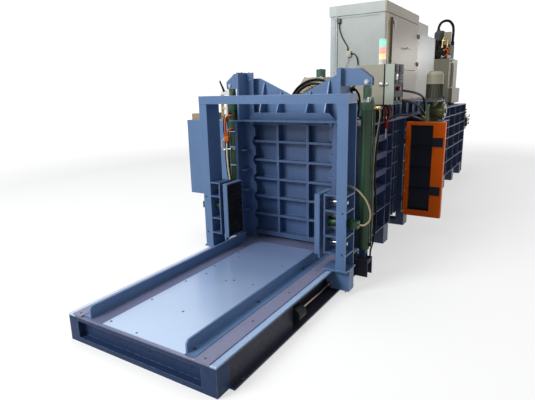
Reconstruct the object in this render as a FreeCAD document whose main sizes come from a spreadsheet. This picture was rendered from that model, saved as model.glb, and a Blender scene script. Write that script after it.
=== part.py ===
"""Horizontal baling press with a lifting end door, a bale puller and a discharge table.

X runs from the table's front edge to the rear of the press, Y to the left seen from the
table, Z up. The frame's origin is the middle of the machine's footprint, on the floor.
All sizes are in millimetres. Distances along X are counted from the table's front edge,
across the machine from its centre line, and heights from the floor.
"""
import FreeCAD, Part
import math
import os
import Sketcher

Vector = FreeCAD.Vector
Rotation = FreeCAD.Rotation

SIZES = (
    # discharge table
    ("table_length", 2186), ("table_half", 650), ("deck_top", 200), ("deck_thick", 12),
    ("plate", 12), ("corner_left", 90), ("corner_right", 115), ("corner_depth", 110),
    ("nose_recess", 50), ("nose_lip", 36), ("web_inset", 80), ("floor_strip_reach", 690),
    ("anchor_across", 670), ("anchor_front", 220), ("anchor_rear", 1900), ("anchor_radius", 9),
    ("wear_front", 12), ("wear_rear", 1915), ("wear_left", 304), ("wear_thick", 6),
    ("screw_radius", 9), ("nose_hole_radius", 7),
    ("rail_left", 435), ("rail_right", 412), ("rail_thick", 12), ("rail_height", 88),
    ("rail_foot", 62), ("rail_foot_thick", 8), ("rail_front", 22), ("rail_rear", 1885),
    ("rail_corner", 30), ("strip_thick", 8), ("strip_outer", 604), ("strip_seam", 6),
    ("bolt_radius", 9), ("bolt_head", 7),
    ("cover_rear", 880), ("notch_front", 1960), ("notch_across", 585),
    # bale puller: the carriage that slides on the table
    ("carriage_centre", -51), ("post_reach", 723), ("post_width", 84), ("portal_front", 1546),
    ("portal_depth", 188), ("portal_top", 1640), ("beam_height", 70), ("foot_thick", 15),
    ("foot_spread", 16), ("foot_inward", 118), ("slide_gap", 0.3), ("carriage_travel", 580),
    ("rack_width", 110), ("rack_top", 854), ("rack_bottom", 355), ("rack_inset", 6),
    ("shelf_upper", 713), ("shelf_lower", 500),
    ("pad_gap", 447), ("pad_thick", 45), ("pad_length", 244), ("pad_low", 333), ("pad_high", 846),
    ("pad_rim", 10), ("pad_gusset", 34), ("pad_back", 14), ("rubber_stand", 3), ("rubber_joint", 6),
    ("rubber_groove", 12), ("clamp_travel", 110),
    ("guide_radius", 15), ("guide_high", 780), ("guide_low", 430), ("guide_end", 700),
    ("bush_radius", 26), ("bush_length", 30), ("running_gap", 0.05), ("rod_hole_gap", 3),
    ("clamp_axis", 607), ("clamp_barrel", 36), ("clamp_bore", 28), ("clamp_rod", 14),
    ("clamp_flange", 46), ("clamp_end", 735), ("port_block", 60), ("piston_length", 25),
    # puller cylinder
    ("puller_clear", 2), ("puller_height", 56), ("puller_barrel", 30), ("puller_bore", 24),
    ("puller_rod", 14), ("puller_front", 150), ("puller_rear", 930), ("gland_radius", 34),
    ("gland_length", 50), ("arm_front", 1600), ("arm_length", 100), ("arm_thick", 80),
    ("port_across", -655), ("port_height", 104), ("port_radius", 50), ("port_front", 885),
    ("port_length", 105),
    # end door and its frame
    ("column_inner", 517), ("column_plate", 20), ("column_front", 1900), ("column_top", 1385),
    ("guide_front", 2050), ("guide_thick", 15), ("guide_inner", 400), ("notch_radius", 62),
    ("stiffener_reach", 66), ("stiffener_first", 500), ("stiffener_pitch", 201),
    ("door_front", 2085), ("door_depth", 100), ("door_half", 485), ("door_bottom", 222),
    ("door_top", 1390), ("door_skin", 15), ("door_rail", 20), ("door_post", 22),
    ("door_post_across", 162), ("door_row_first", 441), ("door_row_pitch", 187),
    ("door_travel", 1100),
    ("yoke_front", 1930), ("yoke_half", 640), ("yoke_left", 617), ("yoke_plate", 12), ("bar_front", 2040),
    ("bar_half", 460), ("bar_height", 68), ("web_thick", 15), ("vee_outer", 400),
    ("vee_inner", 60), ("vee_low", 1635), ("vee_high", 1795), ("stub_front", 1960),
    ("stub_top", 1850), ("stub_flange", 77), ("stub_flange_front", 2105), ("rib_across", 155),
    ("rib_outer", 345),
    ("lug_low", 1700), ("lug_high", 1842), ("lug_reach", 787), ("lug_chamfer_across", 690),
    ("lug_chamfer_high", 1766), ("lug_thick", 18),
    ("lift_across", 745), ("lift_centre", -45), ("lift_along", 2052), ("lift_barrel", 50), ("lift_bore", 42),
    ("lift_rod", 22), ("lift_bottom", 262), ("lift_head_low", 1496), ("lift_head_high", 1562),
    ("lift_head_radius", 64), ("eye_radius", 28), ("eye_low", 1605), ("eye_thick", 40),
    ("pin_height", 1728), ("pin_radius", 16), ("clevis_height", 225),
    # press body
    ("body_rear", 7900), ("chamber_half", 410), ("chamber_plate", 15),
    ("chamber_height", 1300), ("wall_reach", 650), ("wall_low", 208), ("wall_top", 1345),
    ("wall_edge", 10), ("row_first", 650), ("row_pitch", 179), ("box_rib", 60),
    ("box_rib_rear", 2950), ("bay_front", 3150), ("bay_rear", 3612), ("bay_rib_pitch", 100),
    ("bay_rib_reach", 595),
    ("floor_thick", 20), ("beam_low", 60), ("sleeper_half", 640), ("sleeper_width", 100),
    ("pad_foot", 160), ("roof_thick", 15),
    ("feed_front", 3760), ("feed_rear", 5130), ("feed_half", 320),
    ("curb_front", 3650), ("curb_rear", 6650), ("curb_half", 450), ("curb_top", 1505),
    ("curb_rib", 38),
    ("hopper_front", 3720), ("hopper_rear", 5170), ("hopper_half", 340), ("hopper_top", 2645),
    ("hopper_sheet", 6), ("hopper_rim", 14), ("hopper_rim_height", 115), ("hopper_frame", 60),
    ("access_front", 3990), ("access_rear", 5110), ("access_low", 1560), ("access_high", 2445),
    ("access_sheet", 20), ("access_lap", 45), ("latch_radius", 22),
    # ram and main cylinder
    ("ram_front", 5350), ("ram_length", 1600), ("ram_face", 45), ("ram_wall", 16),
    ("ram_gap", 5), ("ram_travel", 2000), ("main_height", 750), ("main_barrel", 145),
    ("main_bore", 120), ("main_rod", 80), ("main_front", 5700), ("main_piston", 100),
    ("rear_thick", 40), ("main_cap", 170), ("main_cap_length", 210), ("piston_gap", 0.1),
    # tying bay gate
    ("gate_hinge", 3606), ("gate_width", 425), ("gate_low", 205), ("gate_high", 1293),
    ("gate_depth", 62), ("gate_sheet", 5), ("gate_edge", 34), ("gate_free_edge", 128),
    ("gate_ribs", 5), ("hinge_radius", 14),
    # power unit, controls and cabinets
    ("tank_front", 7050), ("tank_rear", 7850), ("tank_half", 450), ("tank_low", 1375),
    ("tank_top", 2150), ("service_front", 5300), ("service_rear", 6480), ("service_half", 315),
    ("service_top", 2440), ("motor_along", 4430), ("motor_across", -780), ("motor_radius", 90),
    ("motor_fin", 13), ("motor_low", 1508), ("motor_waist", 1705), ("motor_top", 1862),
    ("console_low", 1250), ("console_reach", 940), ("console_front", 4090),
    ("console_rear", 4660), ("deck_plate_high", 1495), ("platform_front", 4140),
    ("drum_radius", 112), ("drum_end", 905), ("riser_radius", 52),
    ("box_front", 2700), ("box_length", 310), ("box_inner", 388), ("box_seam", 670),
    ("seal", 14), ("box_outer", 772), ("box_low", 1518), ("box_high", 1896), ("box_sheet", 3),
    ("button_radius", 14), ("button_travel", 4),
    ("tower_radius", 32), ("lens_height", 58),
    ("cabinet_front", 2210), ("cabinet_rear", 2760), ("cabinet_inner", 690),
    ("cabinet_outer", 1416), ("cabinet_low", 540), ("cabinet_high", 1375),
    ("valve_front", 2560), ("valve_rear", 2800), ("valve_left", 251), ("valve_right", -125),
    ("valve_high", 1795),
)


class Size:
    """A length that knows its value and the sheet formula that gives it."""

    def __init__(self, value, formula):
        self.value = float(value)
        self.formula = formula

    def __add__(self, other):
        other = size_of(other)
        return Size(self.value + other.value, "(%s + %s)" % (self.formula, other.formula))

    def __sub__(self, other):
        other = size_of(other)
        return Size(self.value - other.value, "(%s - %s)" % (self.formula, other.formula))

    def __mul__(self, other):
        other = size_of(other)
        return Size(self.value * other.value, "(%s * %s)" % (self.formula, other.formula))

    def __truediv__(self, other):
        other = size_of(other)
        return Size(self.value / other.value, "(%s / %s)" % (self.formula, other.formula))

    def __radd__(self, other):
        return size_of(other) + self

    def __rsub__(self, other):
        return size_of(other) - self

    def __rmul__(self, other):
        return size_of(other) * self

    def __neg__(self):
        return Size(-self.value, "(0 - %s)" % self.formula)


def size_of(thing):
    return thing if isinstance(thing, Size) else Size(thing, "(%.6g)" % thing)


class Sheet:
    """The driving dimensions: a spreadsheet, and each of its cells as a Size."""


doc = FreeCAD.newDocument("baler")
table = doc.addObject("Spreadsheet::Sheet", "Dims")
S = Sheet()
for row, (word, number) in enumerate(SIZES, start=1):
    table.set("A%d" % row, word)
    table.set("B%d" % row, "%g" % number)
    table.setAlias("B%d" % row, word)
    setattr(S, word, Size(number, "Dims.%s" % word))
doc.recompute()

MACHINE_LENGTH = S.body_rear + S.rear_thick + S.main_cap_length
GATE_REACH = S.wall_reach + S.hinge_radius * 2 + 6 + S.gate_width
ORIGIN_ALONG = MACHINE_LENGTH / 2
ORIGIN_ACROSS = (S.cabinet_outer - GATE_REACH) / 2
NODES = []


# ---------------------------------------------------------------- building blocks

def bind(thing, prop, size):
    """Set one property from the sheet."""
    thing.setExpression(prop, size_of(size).formula)


def place(thing, along, across, height):
    """Put a thing at a point of the machine, counted from the table's front edge."""
    spot = {"x": size_of(along) - ORIGIN_ALONG, "y": size_of(across) - ORIGIN_ACROSS,
            "z": size_of(height)}
    here = {axis: size.value for axis, size in spot.items()}
    thing.Placement = FreeCAD.Placement(Vector(here["x"], here["y"], here["z"]),
                                        thing.Placement.Rotation)
    for axis, size in spot.items():
        bind(thing, ".Placement.Base.%s" % axis, size)


def ordered(span):
    """The two ends of a span, the lower one first."""
    return sorted((size_of(end) for end in span), key=lambda size: size.value)


def block(x, y, z, name="block"):
    """A box between two distances on each axis."""
    thing = doc.addObject("Part::Box", name)
    spans = [ordered(span) for span in (x, y, z)]
    for prop, (low, high) in zip(("Length", "Width", "Height"), spans):
        bind(thing, prop, high - low)
    place(thing, *[low for low, high in spans])
    return thing


TURNS = {"x": Rotation(Vector(0, 1, 0), 90), "y": Rotation(Vector(1, 0, 0), -90),
         "z": Rotation()}


def bar(axis, radius, spot, span, name="bar"):
    """A round bar along one axis; spot is its place on the other two, in their order."""
    thing = doc.addObject("Part::Cylinder", name)
    thing.Placement = FreeCAD.Placement(Vector(), TURNS[axis])
    low, high = ordered(span)
    bind(thing, "Radius", radius)
    bind(thing, "Height", high - low)
    order = {"x": (low, spot[0], spot[1]), "y": (spot[0], low, spot[1]),
             "z": (spot[0], spot[1], low)}
    place(thing, *order[axis])
    return thing


def union(parts, name="union", refine=True):
    thing = doc.addObject("Part::MultiFuse", name)
    thing.Shapes = parts
    thing.Refine = refine
    return thing


def minus(base, tools, name="cut"):
    thing = doc.addObject("Part::Cut", name)
    thing.Base = base
    thing.Tool = tools[0] if len(tools) == 1 else union(tools)
    thing.Refine = True
    return thing


def group(parts, name="group"):
    """Separate solids that belong to one node."""
    thing = doc.addObject("Part::Compound", name)
    thing.Links = parts
    return thing


def mirror(source, across=0, name="mirror"):
    """The same piece on the other side of a lengthwise plane."""
    thing = doc.addObject("Part::Mirroring", name)
    thing.Source = source
    thing.Normal = Vector(0, 1, 0)
    bind(thing, ".Base.y", size_of(across) - ORIGIN_ACROSS)
    return thing


SKETCH_TURNS = {"xy": Rotation(), "xz": Rotation(Vector(1, 0, 0), 90),
                "yz": Rotation(Vector(1, 1, 1), 120)}


def draw_outline(sketch, points):
    """A closed outline of straight edges whose corners are tied to the sheet."""
    corners = [(size_of(u), size_of(v)) for u, v in points]
    first = sketch.GeometryCount
    count = len(corners)
    for i, (u, v) in enumerate(corners):
        after = corners[(i + 1) % count]
        sketch.addGeometry(Part.LineSegment(Vector(u.value, v.value, 0),
                                            Vector(after[0].value, after[1].value, 0)))
    for i in range(count):
        sketch.addConstraint(Sketcher.Constraint("Coincident", first + i, 2,
                                                 first + (i + 1) % count, 1))
    for i, corner in enumerate(corners):
        for kind, size in zip(("DistanceX", "DistanceY"), corner):
            tie = sketch.addConstraint(Sketcher.Constraint(kind, -1, 1, first + i, 1, size.value))
            sketch.setExpression("Constraints[%d]" % tie, size.formula)


def draw_circle(sketch, u, v, radius):
    """A circle whose centre and radius are tied to the sheet."""
    u, v, radius = size_of(u), size_of(v), size_of(radius)
    index = sketch.addGeometry(Part.Circle(Vector(u.value, v.value, 0), Vector(0, 0, 1),
                                           radius.value))
    for kind, size in (("DistanceX", u), ("DistanceY", v)):
        tie = sketch.addConstraint(Sketcher.Constraint(kind, -1, 1, index, 3, size.value))
        sketch.setExpression("Constraints[%d]" % tie, size.formula)
    tie = sketch.addConstraint(Sketcher.Constraint("Radius", index, radius.value))
    sketch.setExpression("Constraints[%d]" % tie, radius.formula)


def prism(plane, points, span, name="prism"):
    """A plate with a drawn outline. In plane xz the points are (along, height), in yz
    (across, height) and in xy (along, across); span is where it lies on the third axis."""
    sketch = doc.addObject("Sketcher::SketchObject", name + "_outline")
    sketch.Placement = FreeCAD.Placement(Vector(), SKETCH_TURNS[plane])
    draw_outline(sketch, points)
    low, high = ordered(span)
    start = {"xy": (0, 0, low), "xz": (0, high, 0), "yz": (low, 0, 0)}
    place(sketch, *start[plane])
    thing = doc.addObject("Part::Extrusion", name)
    thing.Base = sketch
    thing.DirMode = "Normal"
    thing.Solid = True
    bind(thing, "LengthFwd", high - low)
    return thing


class Piece:
    """A body with sketched features; its own zero is a point of the machine."""

    def __init__(self, name, along, across, height):
        self.body = doc.addObject("PartDesign::Body", name)
        place(self.body, along, across, height)

    def plane(self, role):
        return next(f for f in self.body.Origin.OriginFeatures if f.Role == role)

    def sketch(self, plane, outlines=(), circles=(), offset=0):
        """Outlines and circles on a plane of the body, offset along the plane's normal."""
        sketch = self.body.newObject("Sketcher::SketchObject", "outline")
        sketch.AttachmentSupport = (self.plane(plane.upper() + "_Plane"), [""])
        sketch.MapMode = "FlatFace"
        bind(sketch, ".AttachmentOffset.Base.z", offset)
        for points in outlines:
            draw_outline(sketch, points)
        for circle in circles:
            draw_circle(sketch, *circle)
        return sketch

    def feature(self, kind, name, sketch, **lengths):
        thing = self.body.newObject("PartDesign::" + kind, name)
        thing.Profile = sketch
        for prop, size in lengths.items():
            bind(thing, prop, size)
        return thing

    def pad(self, plane, length, outlines=(), circles=(), offset=0, name="pad"):
        return self.feature("Pad", name, self.sketch(plane, outlines, circles, offset),
                            Length=length)

    def pocket(self, plane, depth, outlines=(), circles=(), offset=0, name="pocket"):
        """A cut that starts at the plane's offset and goes along its normal."""
        thing = self.feature("Pocket", name, self.sketch(plane, outlines, circles, offset),
                             Length=depth)
        thing.Reversed = True
        return thing

    def turn(self, plane, outline, name="turned"):
        """A solid turned about the plane's second axis."""
        sketch = self.sketch(plane, [outline])
        thing = self.feature("Revolution", name, sketch)
        thing.ReferenceAxis = (sketch, ["V_Axis"])
        thing.Angle = 360
        return thing

    def row(self, feature, sketch_axis, pitch, count, reverse=False, name="row"):
        """Repeat a feature along one axis of its own sketch."""
        self.body.Tip = feature
        thing = self.body.newObject("PartDesign::LinearPattern", name)
        thing.Originals = [feature]
        thing.Direction = (feature.Profile[0], [sketch_axis])
        thing.Mode = "Spacing"
        thing.Reversed = reverse
        bind(thing, "Offset", pitch)
        thing.Occurrences = count
        self.body.Tip = thing
        return thing

    def ring(self, feature, count, name="ring"):
        """Repeat a feature round the body's own upright axis."""
        thing = self.body.newObject("PartDesign::PolarPattern", name)
        thing.Originals = [feature]
        thing.Axis = (next(f for f in self.body.Origin.OriginFeatures if f.Role == "Z_Axis"), [""])
        thing.Angle = 360
        thing.Occurrences = count
        self.body.Tip = thing
        return thing

    def round_edges(self, chosen, radius, kind="Fillet"):
        """Round or chamfer the edges for which chosen(edge) is true."""
        doc.recompute()
        tip = self.body.Tip
        names = ["Edge%d" % (i + 1) for i, edge in enumerate(tip.Shape.Edges) if chosen(edge)]
        thing = self.body.newObject("PartDesign::" + kind, kind.lower())
        thing.Base = (tip, names)
        bind(thing, "Radius" if kind == "Fillet" else "Size", radius)
        return thing


def node(thing, name):
    """Name a finished piece; its label names its file."""
    thing.Label = name
    NODES.append(thing)
    return thing


def rectangle(u, v):
    return [(u[0], v[0]), (u[1], v[0]), (u[1], v[1]), (u[0], v[1])]


# ---------------------------------------------------------------- discharge table

DECK_LOW = S.deck_top - S.deck_thick
LEFT = S.table_half
RIGHT = -S.table_half
WEB_RIGHT = RIGHT + S.web_inset
PULLER_ACROSS = RIGHT + S.plate + S.puller_clear + S.puller_barrel
LIFT_REACH = S.lift_across + S.lift_centre


def lift_place(side):
    """How far across the machine a lift cylinder's axis is."""
    return S.lift_centre + LIFT_REACH * side


def anchor_holes():
    """The four anchor bolt holes through the table's floor strips."""
    return [bar("z", S.anchor_radius, (along, across), (-5, S.plate + 5))
            for along in (S.anchor_front, S.anchor_rear)
            for across in (S.anchor_across, -S.anchor_across)]


def table_frame():
    """Welded plates under the deck: nose, sides, cross members and floor strips."""
    nose_left = LEFT - S.corner_left
    nose_right = RIGHT + S.corner_right
    parts = [
        block((0, S.corner_depth), (nose_left, LEFT), (0, DECK_LOW)),
        block((0, S.corner_depth), (RIGHT, nose_right), (0, DECK_LOW)),
        block((S.nose_recess, S.nose_recess + S.plate), (nose_right, nose_left), (0, DECK_LOW)),
        block((0, S.nose_recess), (nose_right, nose_left), (DECK_LOW - S.nose_lip + S.plate, DECK_LOW)),
        block((0, S.nose_recess), (nose_right, nose_left), (0, S.nose_lip)),
        block((S.corner_depth, S.table_length), (LEFT - S.plate, LEFT), (0, DECK_LOW)),
        block((S.corner_depth, S.table_length), (WEB_RIGHT, WEB_RIGHT + S.plate), (0, DECK_LOW)),
        block((S.nose_recess, S.table_length), (-S.plate / 2, S.plate / 2), (0, DECK_LOW)),
        block((S.corner_depth, S.table_length), (LEFT - S.plate * 2, S.floor_strip_reach), (0, S.plate)),
        block((S.corner_depth, S.table_length), (-S.floor_strip_reach, WEB_RIGHT + S.plate * 2),
              (0, S.plate)),
    ]
    for step in range(1, 5):
        along = S.table_length / 4 * step - S.plate
        parts.append(block((along, along + S.plate), (WEB_RIGHT, LEFT), (0, DECK_LOW)))
    # the saddles that hold the puller's barrel
    for along in (S.puller_front + S.puller_barrel * 2, S.puller_rear - S.puller_barrel * 4):
        parts.append(block((along - S.plate, along), (PULLER_ACROSS - S.puller_barrel, WEB_RIGHT),
                           (0, S.puller_height)))
    # the brackets that carry the lift cylinders
    for side, inner in ((1, S.notch_across), (-1, WEB_RIGHT)):
        outer = lift_place(side) + S.lift_head_radius * side
        reach = (inner, outer)
        parts.append(block((S.lift_along - S.lift_head_radius, S.lift_along + S.lift_head_radius),
                           reach, (CLEVIS_LOW - S.plate * 3, CLEVIS_LOW)))
        for edge in (-S.lift_head_radius, S.lift_head_radius - S.plate):
            parts.append(block((S.lift_along + edge, S.lift_along + edge + S.plate), reach,
                               (S.plate, CLEVIS_LOW - S.plate * 3)))
        ear_inner = lift_place(side) - S.eye_radius
        for edge in (-S.eye_thick / 2 - S.lug_thick, S.eye_thick / 2):
            parts.append(block((S.lift_along + edge, S.lift_along + edge + S.lug_thick),
                               (ear_inner, ear_inner + S.eye_radius * 2),
                               (CLEVIS_LOW, S.clevis_height + S.eye_radius)))
    tools = anchor_holes()
    tools += [bar("x", S.nose_hole_radius, (across, DECK_LOW / 2), (-5, S.corner_depth))
              for across in (34, -78)]
    tools.append(bar("x", S.puller_barrel + S.slide_gap, (PULLER_ACROSS, S.puller_height),
                     (S.puller_front - 1, S.puller_rear + S.gland_length + 1)))
    tools.append(bar("x", S.gland_radius + S.slide_gap, (PULLER_ACROSS, S.puller_height),
                     (S.puller_rear - 1, S.puller_rear + S.gland_length + 1)))
    return minus(union(parts), tools)


CLEVIS_LOW = S.clevis_height - S.eye_radius - S.plate * 2
node(table_frame(), "table_frame")

deck = Piece("deck", 0, 0, DECK_LOW)
deck.pad("xy", S.deck_thick, [[
    (0, RIGHT), (S.table_length, RIGHT), (S.table_length, S.notch_across),
    (S.notch_front, S.notch_across), (S.notch_front, LEFT), (0, LEFT)]])
deck.round_edges(lambda edge: edge.BoundBox.XMax < 1 and edge.BoundBox.ZMin > S.deck_thick.value - 1,
                 S.deck_thick / 3, "Chamfer")
node(deck.body, "deck_plate")

wear = Piece("wear", S.wear_front, 0, S.deck_top)
wear.pad("xy", S.wear_thick, [rectangle((0, S.wear_rear - S.wear_front),
                                        (-S.rail_right, S.wear_left))])
wear_length = S.wear_rear - S.wear_front
wear.pocket("xy", S.wear_thick, circles=[
    (S.screw_radius * 3, 14, S.screw_radius), (wear_length / 2, 1, S.screw_radius),
    (wear_length * 0.52, S.wear_left - 70, S.screw_radius),
    (wear_length * 0.52, 182 - S.rail_right, S.screw_radius),
    (wear_length * 0.757, S.wear_left - 82, S.screw_radius),
    (wear_length * 0.757, 177 - S.rail_right, S.screw_radius)])
node(wear.body, "wear_plate")


def guide_rail(name, side, inner):
    """An angle along the table: its upright leg guides the bale, its foot is bolted down."""
    rail = Piece(name, S.rail_front, 0, S.deck_top)
    outer = inner + S.rail_thick
    toe = outer + S.rail_foot
    rail.pad("yz", S.rail_rear - S.rail_front, [[
        (inner * side, 0), (toe * side, 0), (toe * side, S.rail_foot_thick),
        (outer * side, S.rail_foot_thick), (outer * side, S.rail_height), (inner * side, S.rail_height)]])
    top = S.rail_height.value
    rail.round_edges(lambda edge: edge.BoundBox.XMax < 1 and edge.BoundBox.ZMin > top - 1,
                     S.rail_corner)
    return rail.body


node(group([guide_rail("rail_left", 1, S.rail_left), guide_rail("rail_right", -1, S.rail_right)]),
     "guide_rails")

STRIP_LEFT = S.rail_left + S.rail_thick + S.rail_foot + S.strip_seam
STRIP_RIGHT = S.rail_right + S.rail_thick + S.rail_foot + S.strip_seam
STRIP_TOP = S.deck_top + S.strip_thick


def strip_bolt_places():
    """Where the strips are bolted down, along the table."""
    return [(S.portal_front - 80) / 3 * step + 34 for step in range(4)]


def deck_strip(name, side, inner):
    """The strip outside a rail that the puller's feet slide on."""
    strip = Piece(name, 0, 0, S.deck_top)
    across = (inner * side, S.strip_outer * side)
    strip.pad("xy", S.strip_thick, [rectangle((0, S.column_front - 5), across)])
    middle = (inner + S.strip_outer) / 2 * side
    strip.pocket("xy", S.strip_thick, circles=[(along, middle, S.bolt_radius + S.slide_gap)
                                               for along in strip_bolt_places()])
    return strip.body


node(group([deck_strip("strip_left", 1, STRIP_LEFT), deck_strip("strip_right", -1, STRIP_RIGHT)]),
     "deck_strips")


def hex_head(along, across, height):
    """A bolt head seen from above."""
    head = doc.addObject("Part::Prism", "bolt_head")
    head.Polygon = 6
    bind(head, "Circumradius", S.bolt_radius)
    bind(head, "Height", S.bolt_head)
    place(head, along, across, height)
    return head


def deck_bolts():
    """The flush screws of the strips and the bolts of the rails' feet."""
    middles = ((STRIP_LEFT + S.strip_outer) / 2, -(STRIP_RIGHT + S.strip_outer) / 2)
    foot_left = S.rail_left + S.rail_thick + S.bolt_radius + 3
    foot_right = -(S.rail_right + S.rail_thick + S.bolt_radius + 3)
    foot_pitch = (S.portal_front - 160) / 2
    heads = [bar("z", S.bolt_radius, (along, middle), (S.deck_top, STRIP_TOP - 0.5))
             for along in strip_bolt_places() for middle in middles]
    for step in range(3):
        along = foot_pitch * step + 78
        heads.append(hex_head(along, foot_left, S.deck_top + S.rail_foot_thick))
        heads.append(hex_head(along, foot_right, S.deck_top + S.rail_foot_thick))
    return group(heads)


node(deck_bolts(), "deck_bolts")


def puller_cover():
    """The flush side plate that hides the puller's barrel, and the plate that closes its end."""
    side = (RIGHT, RIGHT + S.plate)
    height = (S.plate, DECK_LOW)
    end = minus(block((S.cover_rear - S.plate, S.cover_rear), (RIGHT, WEB_RIGHT), height),
                [bar("x", S.puller_barrel + S.slide_gap, (PULLER_ACROSS, S.puller_height),
                     (S.cover_rear - S.plate - 5, S.cover_rear + 5))])
    return union([block((S.corner_depth, S.cover_rear), side, height), end])


node(puller_cover(), "puller_cover")


def cylinder_tube(axis, spot, span, radius, bore, rod_hole, gland, gland_length, cap, rod_end):
    """A hydraulic barrel: a tube with a closed end and a gland that the rod runs in."""
    low, high = ordered(span)
    if rod_end > 0:
        gland_span, bore_span = (high - gland_length, high), (low + cap, high - gland_length)
    else:
        gland_span, bore_span = (low, low + gland_length), (low + gland_length, high - cap)
    solid = union([bar(axis, radius, spot, (low, high)), bar(axis, gland, spot, gland_span)])
    return minus(solid, [bar(axis, bore, spot, bore_span),
                         bar(axis, rod_hole, spot, (gland_span[0] - 1, gland_span[1] + 1))])


PULLER_GLAND = S.puller_rear + S.gland_length
puller = cylinder_tube("x", (PULLER_ACROSS, S.puller_height), (S.puller_front, PULLER_GLAND),
                       S.puller_barrel, S.puller_bore, S.puller_rod + S.running_gap,
                       S.gland_radius, S.gland_length, 20, 1)
port_drum = bar("x", S.port_radius, (S.port_across, S.port_height),
                (S.port_front, S.port_front + S.port_length))
PULLER_SPOT = (PULLER_ACROSS, S.puller_height)
puller = minus(union([puller, port_drum]), [
    bar("x", S.puller_bore, PULLER_SPOT, (S.puller_front + 20, S.puller_rear)),
    bar("x", S.puller_rod + S.running_gap, PULLER_SPOT, (S.puller_rear - 1, S.port_front + S.port_length + 1))])
node(puller, "puller_cylinder")


# ---------------------------------------------------------------- end door frame

def door_column():
    """The right column: a side plate, a scalloped guide for the door and its stiffeners."""
    guide = Piece("door_guide", S.guide_front, 0, 0)
    edge = -S.column_inner
    guide.pad("yz", S.guide_thick, [rectangle((edge, -S.guide_inner), (S.deck_top, S.column_top))])
    scallop = guide.pocket("yz", S.guide_thick,
                           circles=[(S.notch_radius / 2 - S.guide_inner, S.door_row_first - S.door_row_pitch,
                                     S.notch_radius)])
    guide.row(scallop, "V_Axis", S.door_row_pitch, 7)
    parts = [guide.body,
             block((S.column_front, S.table_length), (edge - S.column_plate, edge),
                   (S.deck_top, S.column_top)),
             block((S.column_front, S.table_length), (edge - S.column_plate * 3, edge - S.column_plate),
                   (S.deck_top, S.deck_top + S.plate)),
             block((S.column_front, S.guide_front), (edge, edge + S.plate), (S.deck_top, S.column_top))]
    for step in range(4):
        low = S.stiffener_first + S.stiffener_pitch * step
        parts.append(block((S.column_front + 45, S.guide_front), (edge, edge + S.stiffener_reach),
                           (low, low + S.plate)))
    return union(parts)


column = door_column()
node(column, "door_column_right")
node(mirror(column), "door_column_left")


PORT_HEIGHT = (S.lift_head_low + S.lift_head_high) / 2 - 15


def lift_cylinder():
    """The right lift cylinder: barrel, square head, foot eye and its outside pipe."""
    spot = (S.lift_along, -S.lift_across)
    body = cylinder_tube("z", spot, (S.lift_bottom, S.lift_head_high), S.lift_barrel, S.lift_bore,
                         S.lift_rod + S.running_gap, S.lift_head_radius,
                         S.lift_head_high - S.lift_head_low, 20, 1)
    pipe_across = -S.lift_across - S.lift_barrel - 14
    foot_half = S.eye_thick / 2
    eye = (-S.lift_across, S.clevis_height)
    solid = union([
        body,
        bar("x", S.eye_radius, eye, (S.lift_along - foot_half, S.lift_along + foot_half)),
        block((S.lift_along - foot_half, S.lift_along + foot_half),
              (eye[0] - S.eye_radius, eye[0] + S.eye_radius), (S.clevis_height, S.lift_bottom)),
        bar("z", 8, (S.lift_along, pipe_across), (S.lift_bottom + 60, S.lift_head_low)),
        block((S.lift_along - 14, S.lift_along + 14), (pipe_across - 12, -S.lift_across - S.lift_bore - 4),
              (S.lift_bottom + 30, S.lift_bottom + 60)),
        bar("y", 13, (S.lift_along + 28, PORT_HEIGHT), (-S.lift_across - 117, -S.lift_across - 50)),
    ])
    pin_hole = bar("x", S.pin_radius + S.running_gap, eye, (S.lift_along - 60, S.lift_along + 60))
    return minus(solid, [pin_hole])


lift = lift_cylinder()
node(lift, "lift_cylinder_right")
node(mirror(lift, S.lift_centre), "lift_cylinder_left")


# ---------------------------------------------------------------- press body

CHAMBER_LOW = S.deck_top - S.floor_thick
WALL_OUTER = S.chamber_half + S.chamber_plate


def body_base():
    """The chamber's floor on two long beams and a row of sleepers."""
    parts = [block((S.table_length, S.body_rear), (-WALL_OUTER, WALL_OUTER), (CHAMBER_LOW, S.deck_top))]
    for side in (-1, 1):
        inner = (S.chamber_half - 80) * side
        across = (inner, WALL_OUTER * side)
        parts.append(block((S.table_length, S.body_rear), across, (S.beam_low, CHAMBER_LOW)))
    pitch = (S.body_rear - S.table_length - S.pad_foot) / 7
    for step in range(8):
        along = S.table_length + pitch * step
        parts.append(block((along, along + S.pad_foot), (-S.sleeper_half, S.sleeper_half),
                           (0, S.beam_low)))
        for side in (-1, 1):
            across = ((S.sleeper_half - S.sleeper_width) * side, S.sleeper_half * side)
            parts.append(block((along, along + S.pad_foot), across, (S.beam_low, S.wall_low)))
    return union(parts)




def wall_verticals():
    """Where the upright ribs start, behind the tying bay."""
    count = 8
    pitch = (S.body_rear - S.plate - S.bay_rear) / count
    return [S.bay_rear + pitch * step for step in range(count + 1)]


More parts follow.
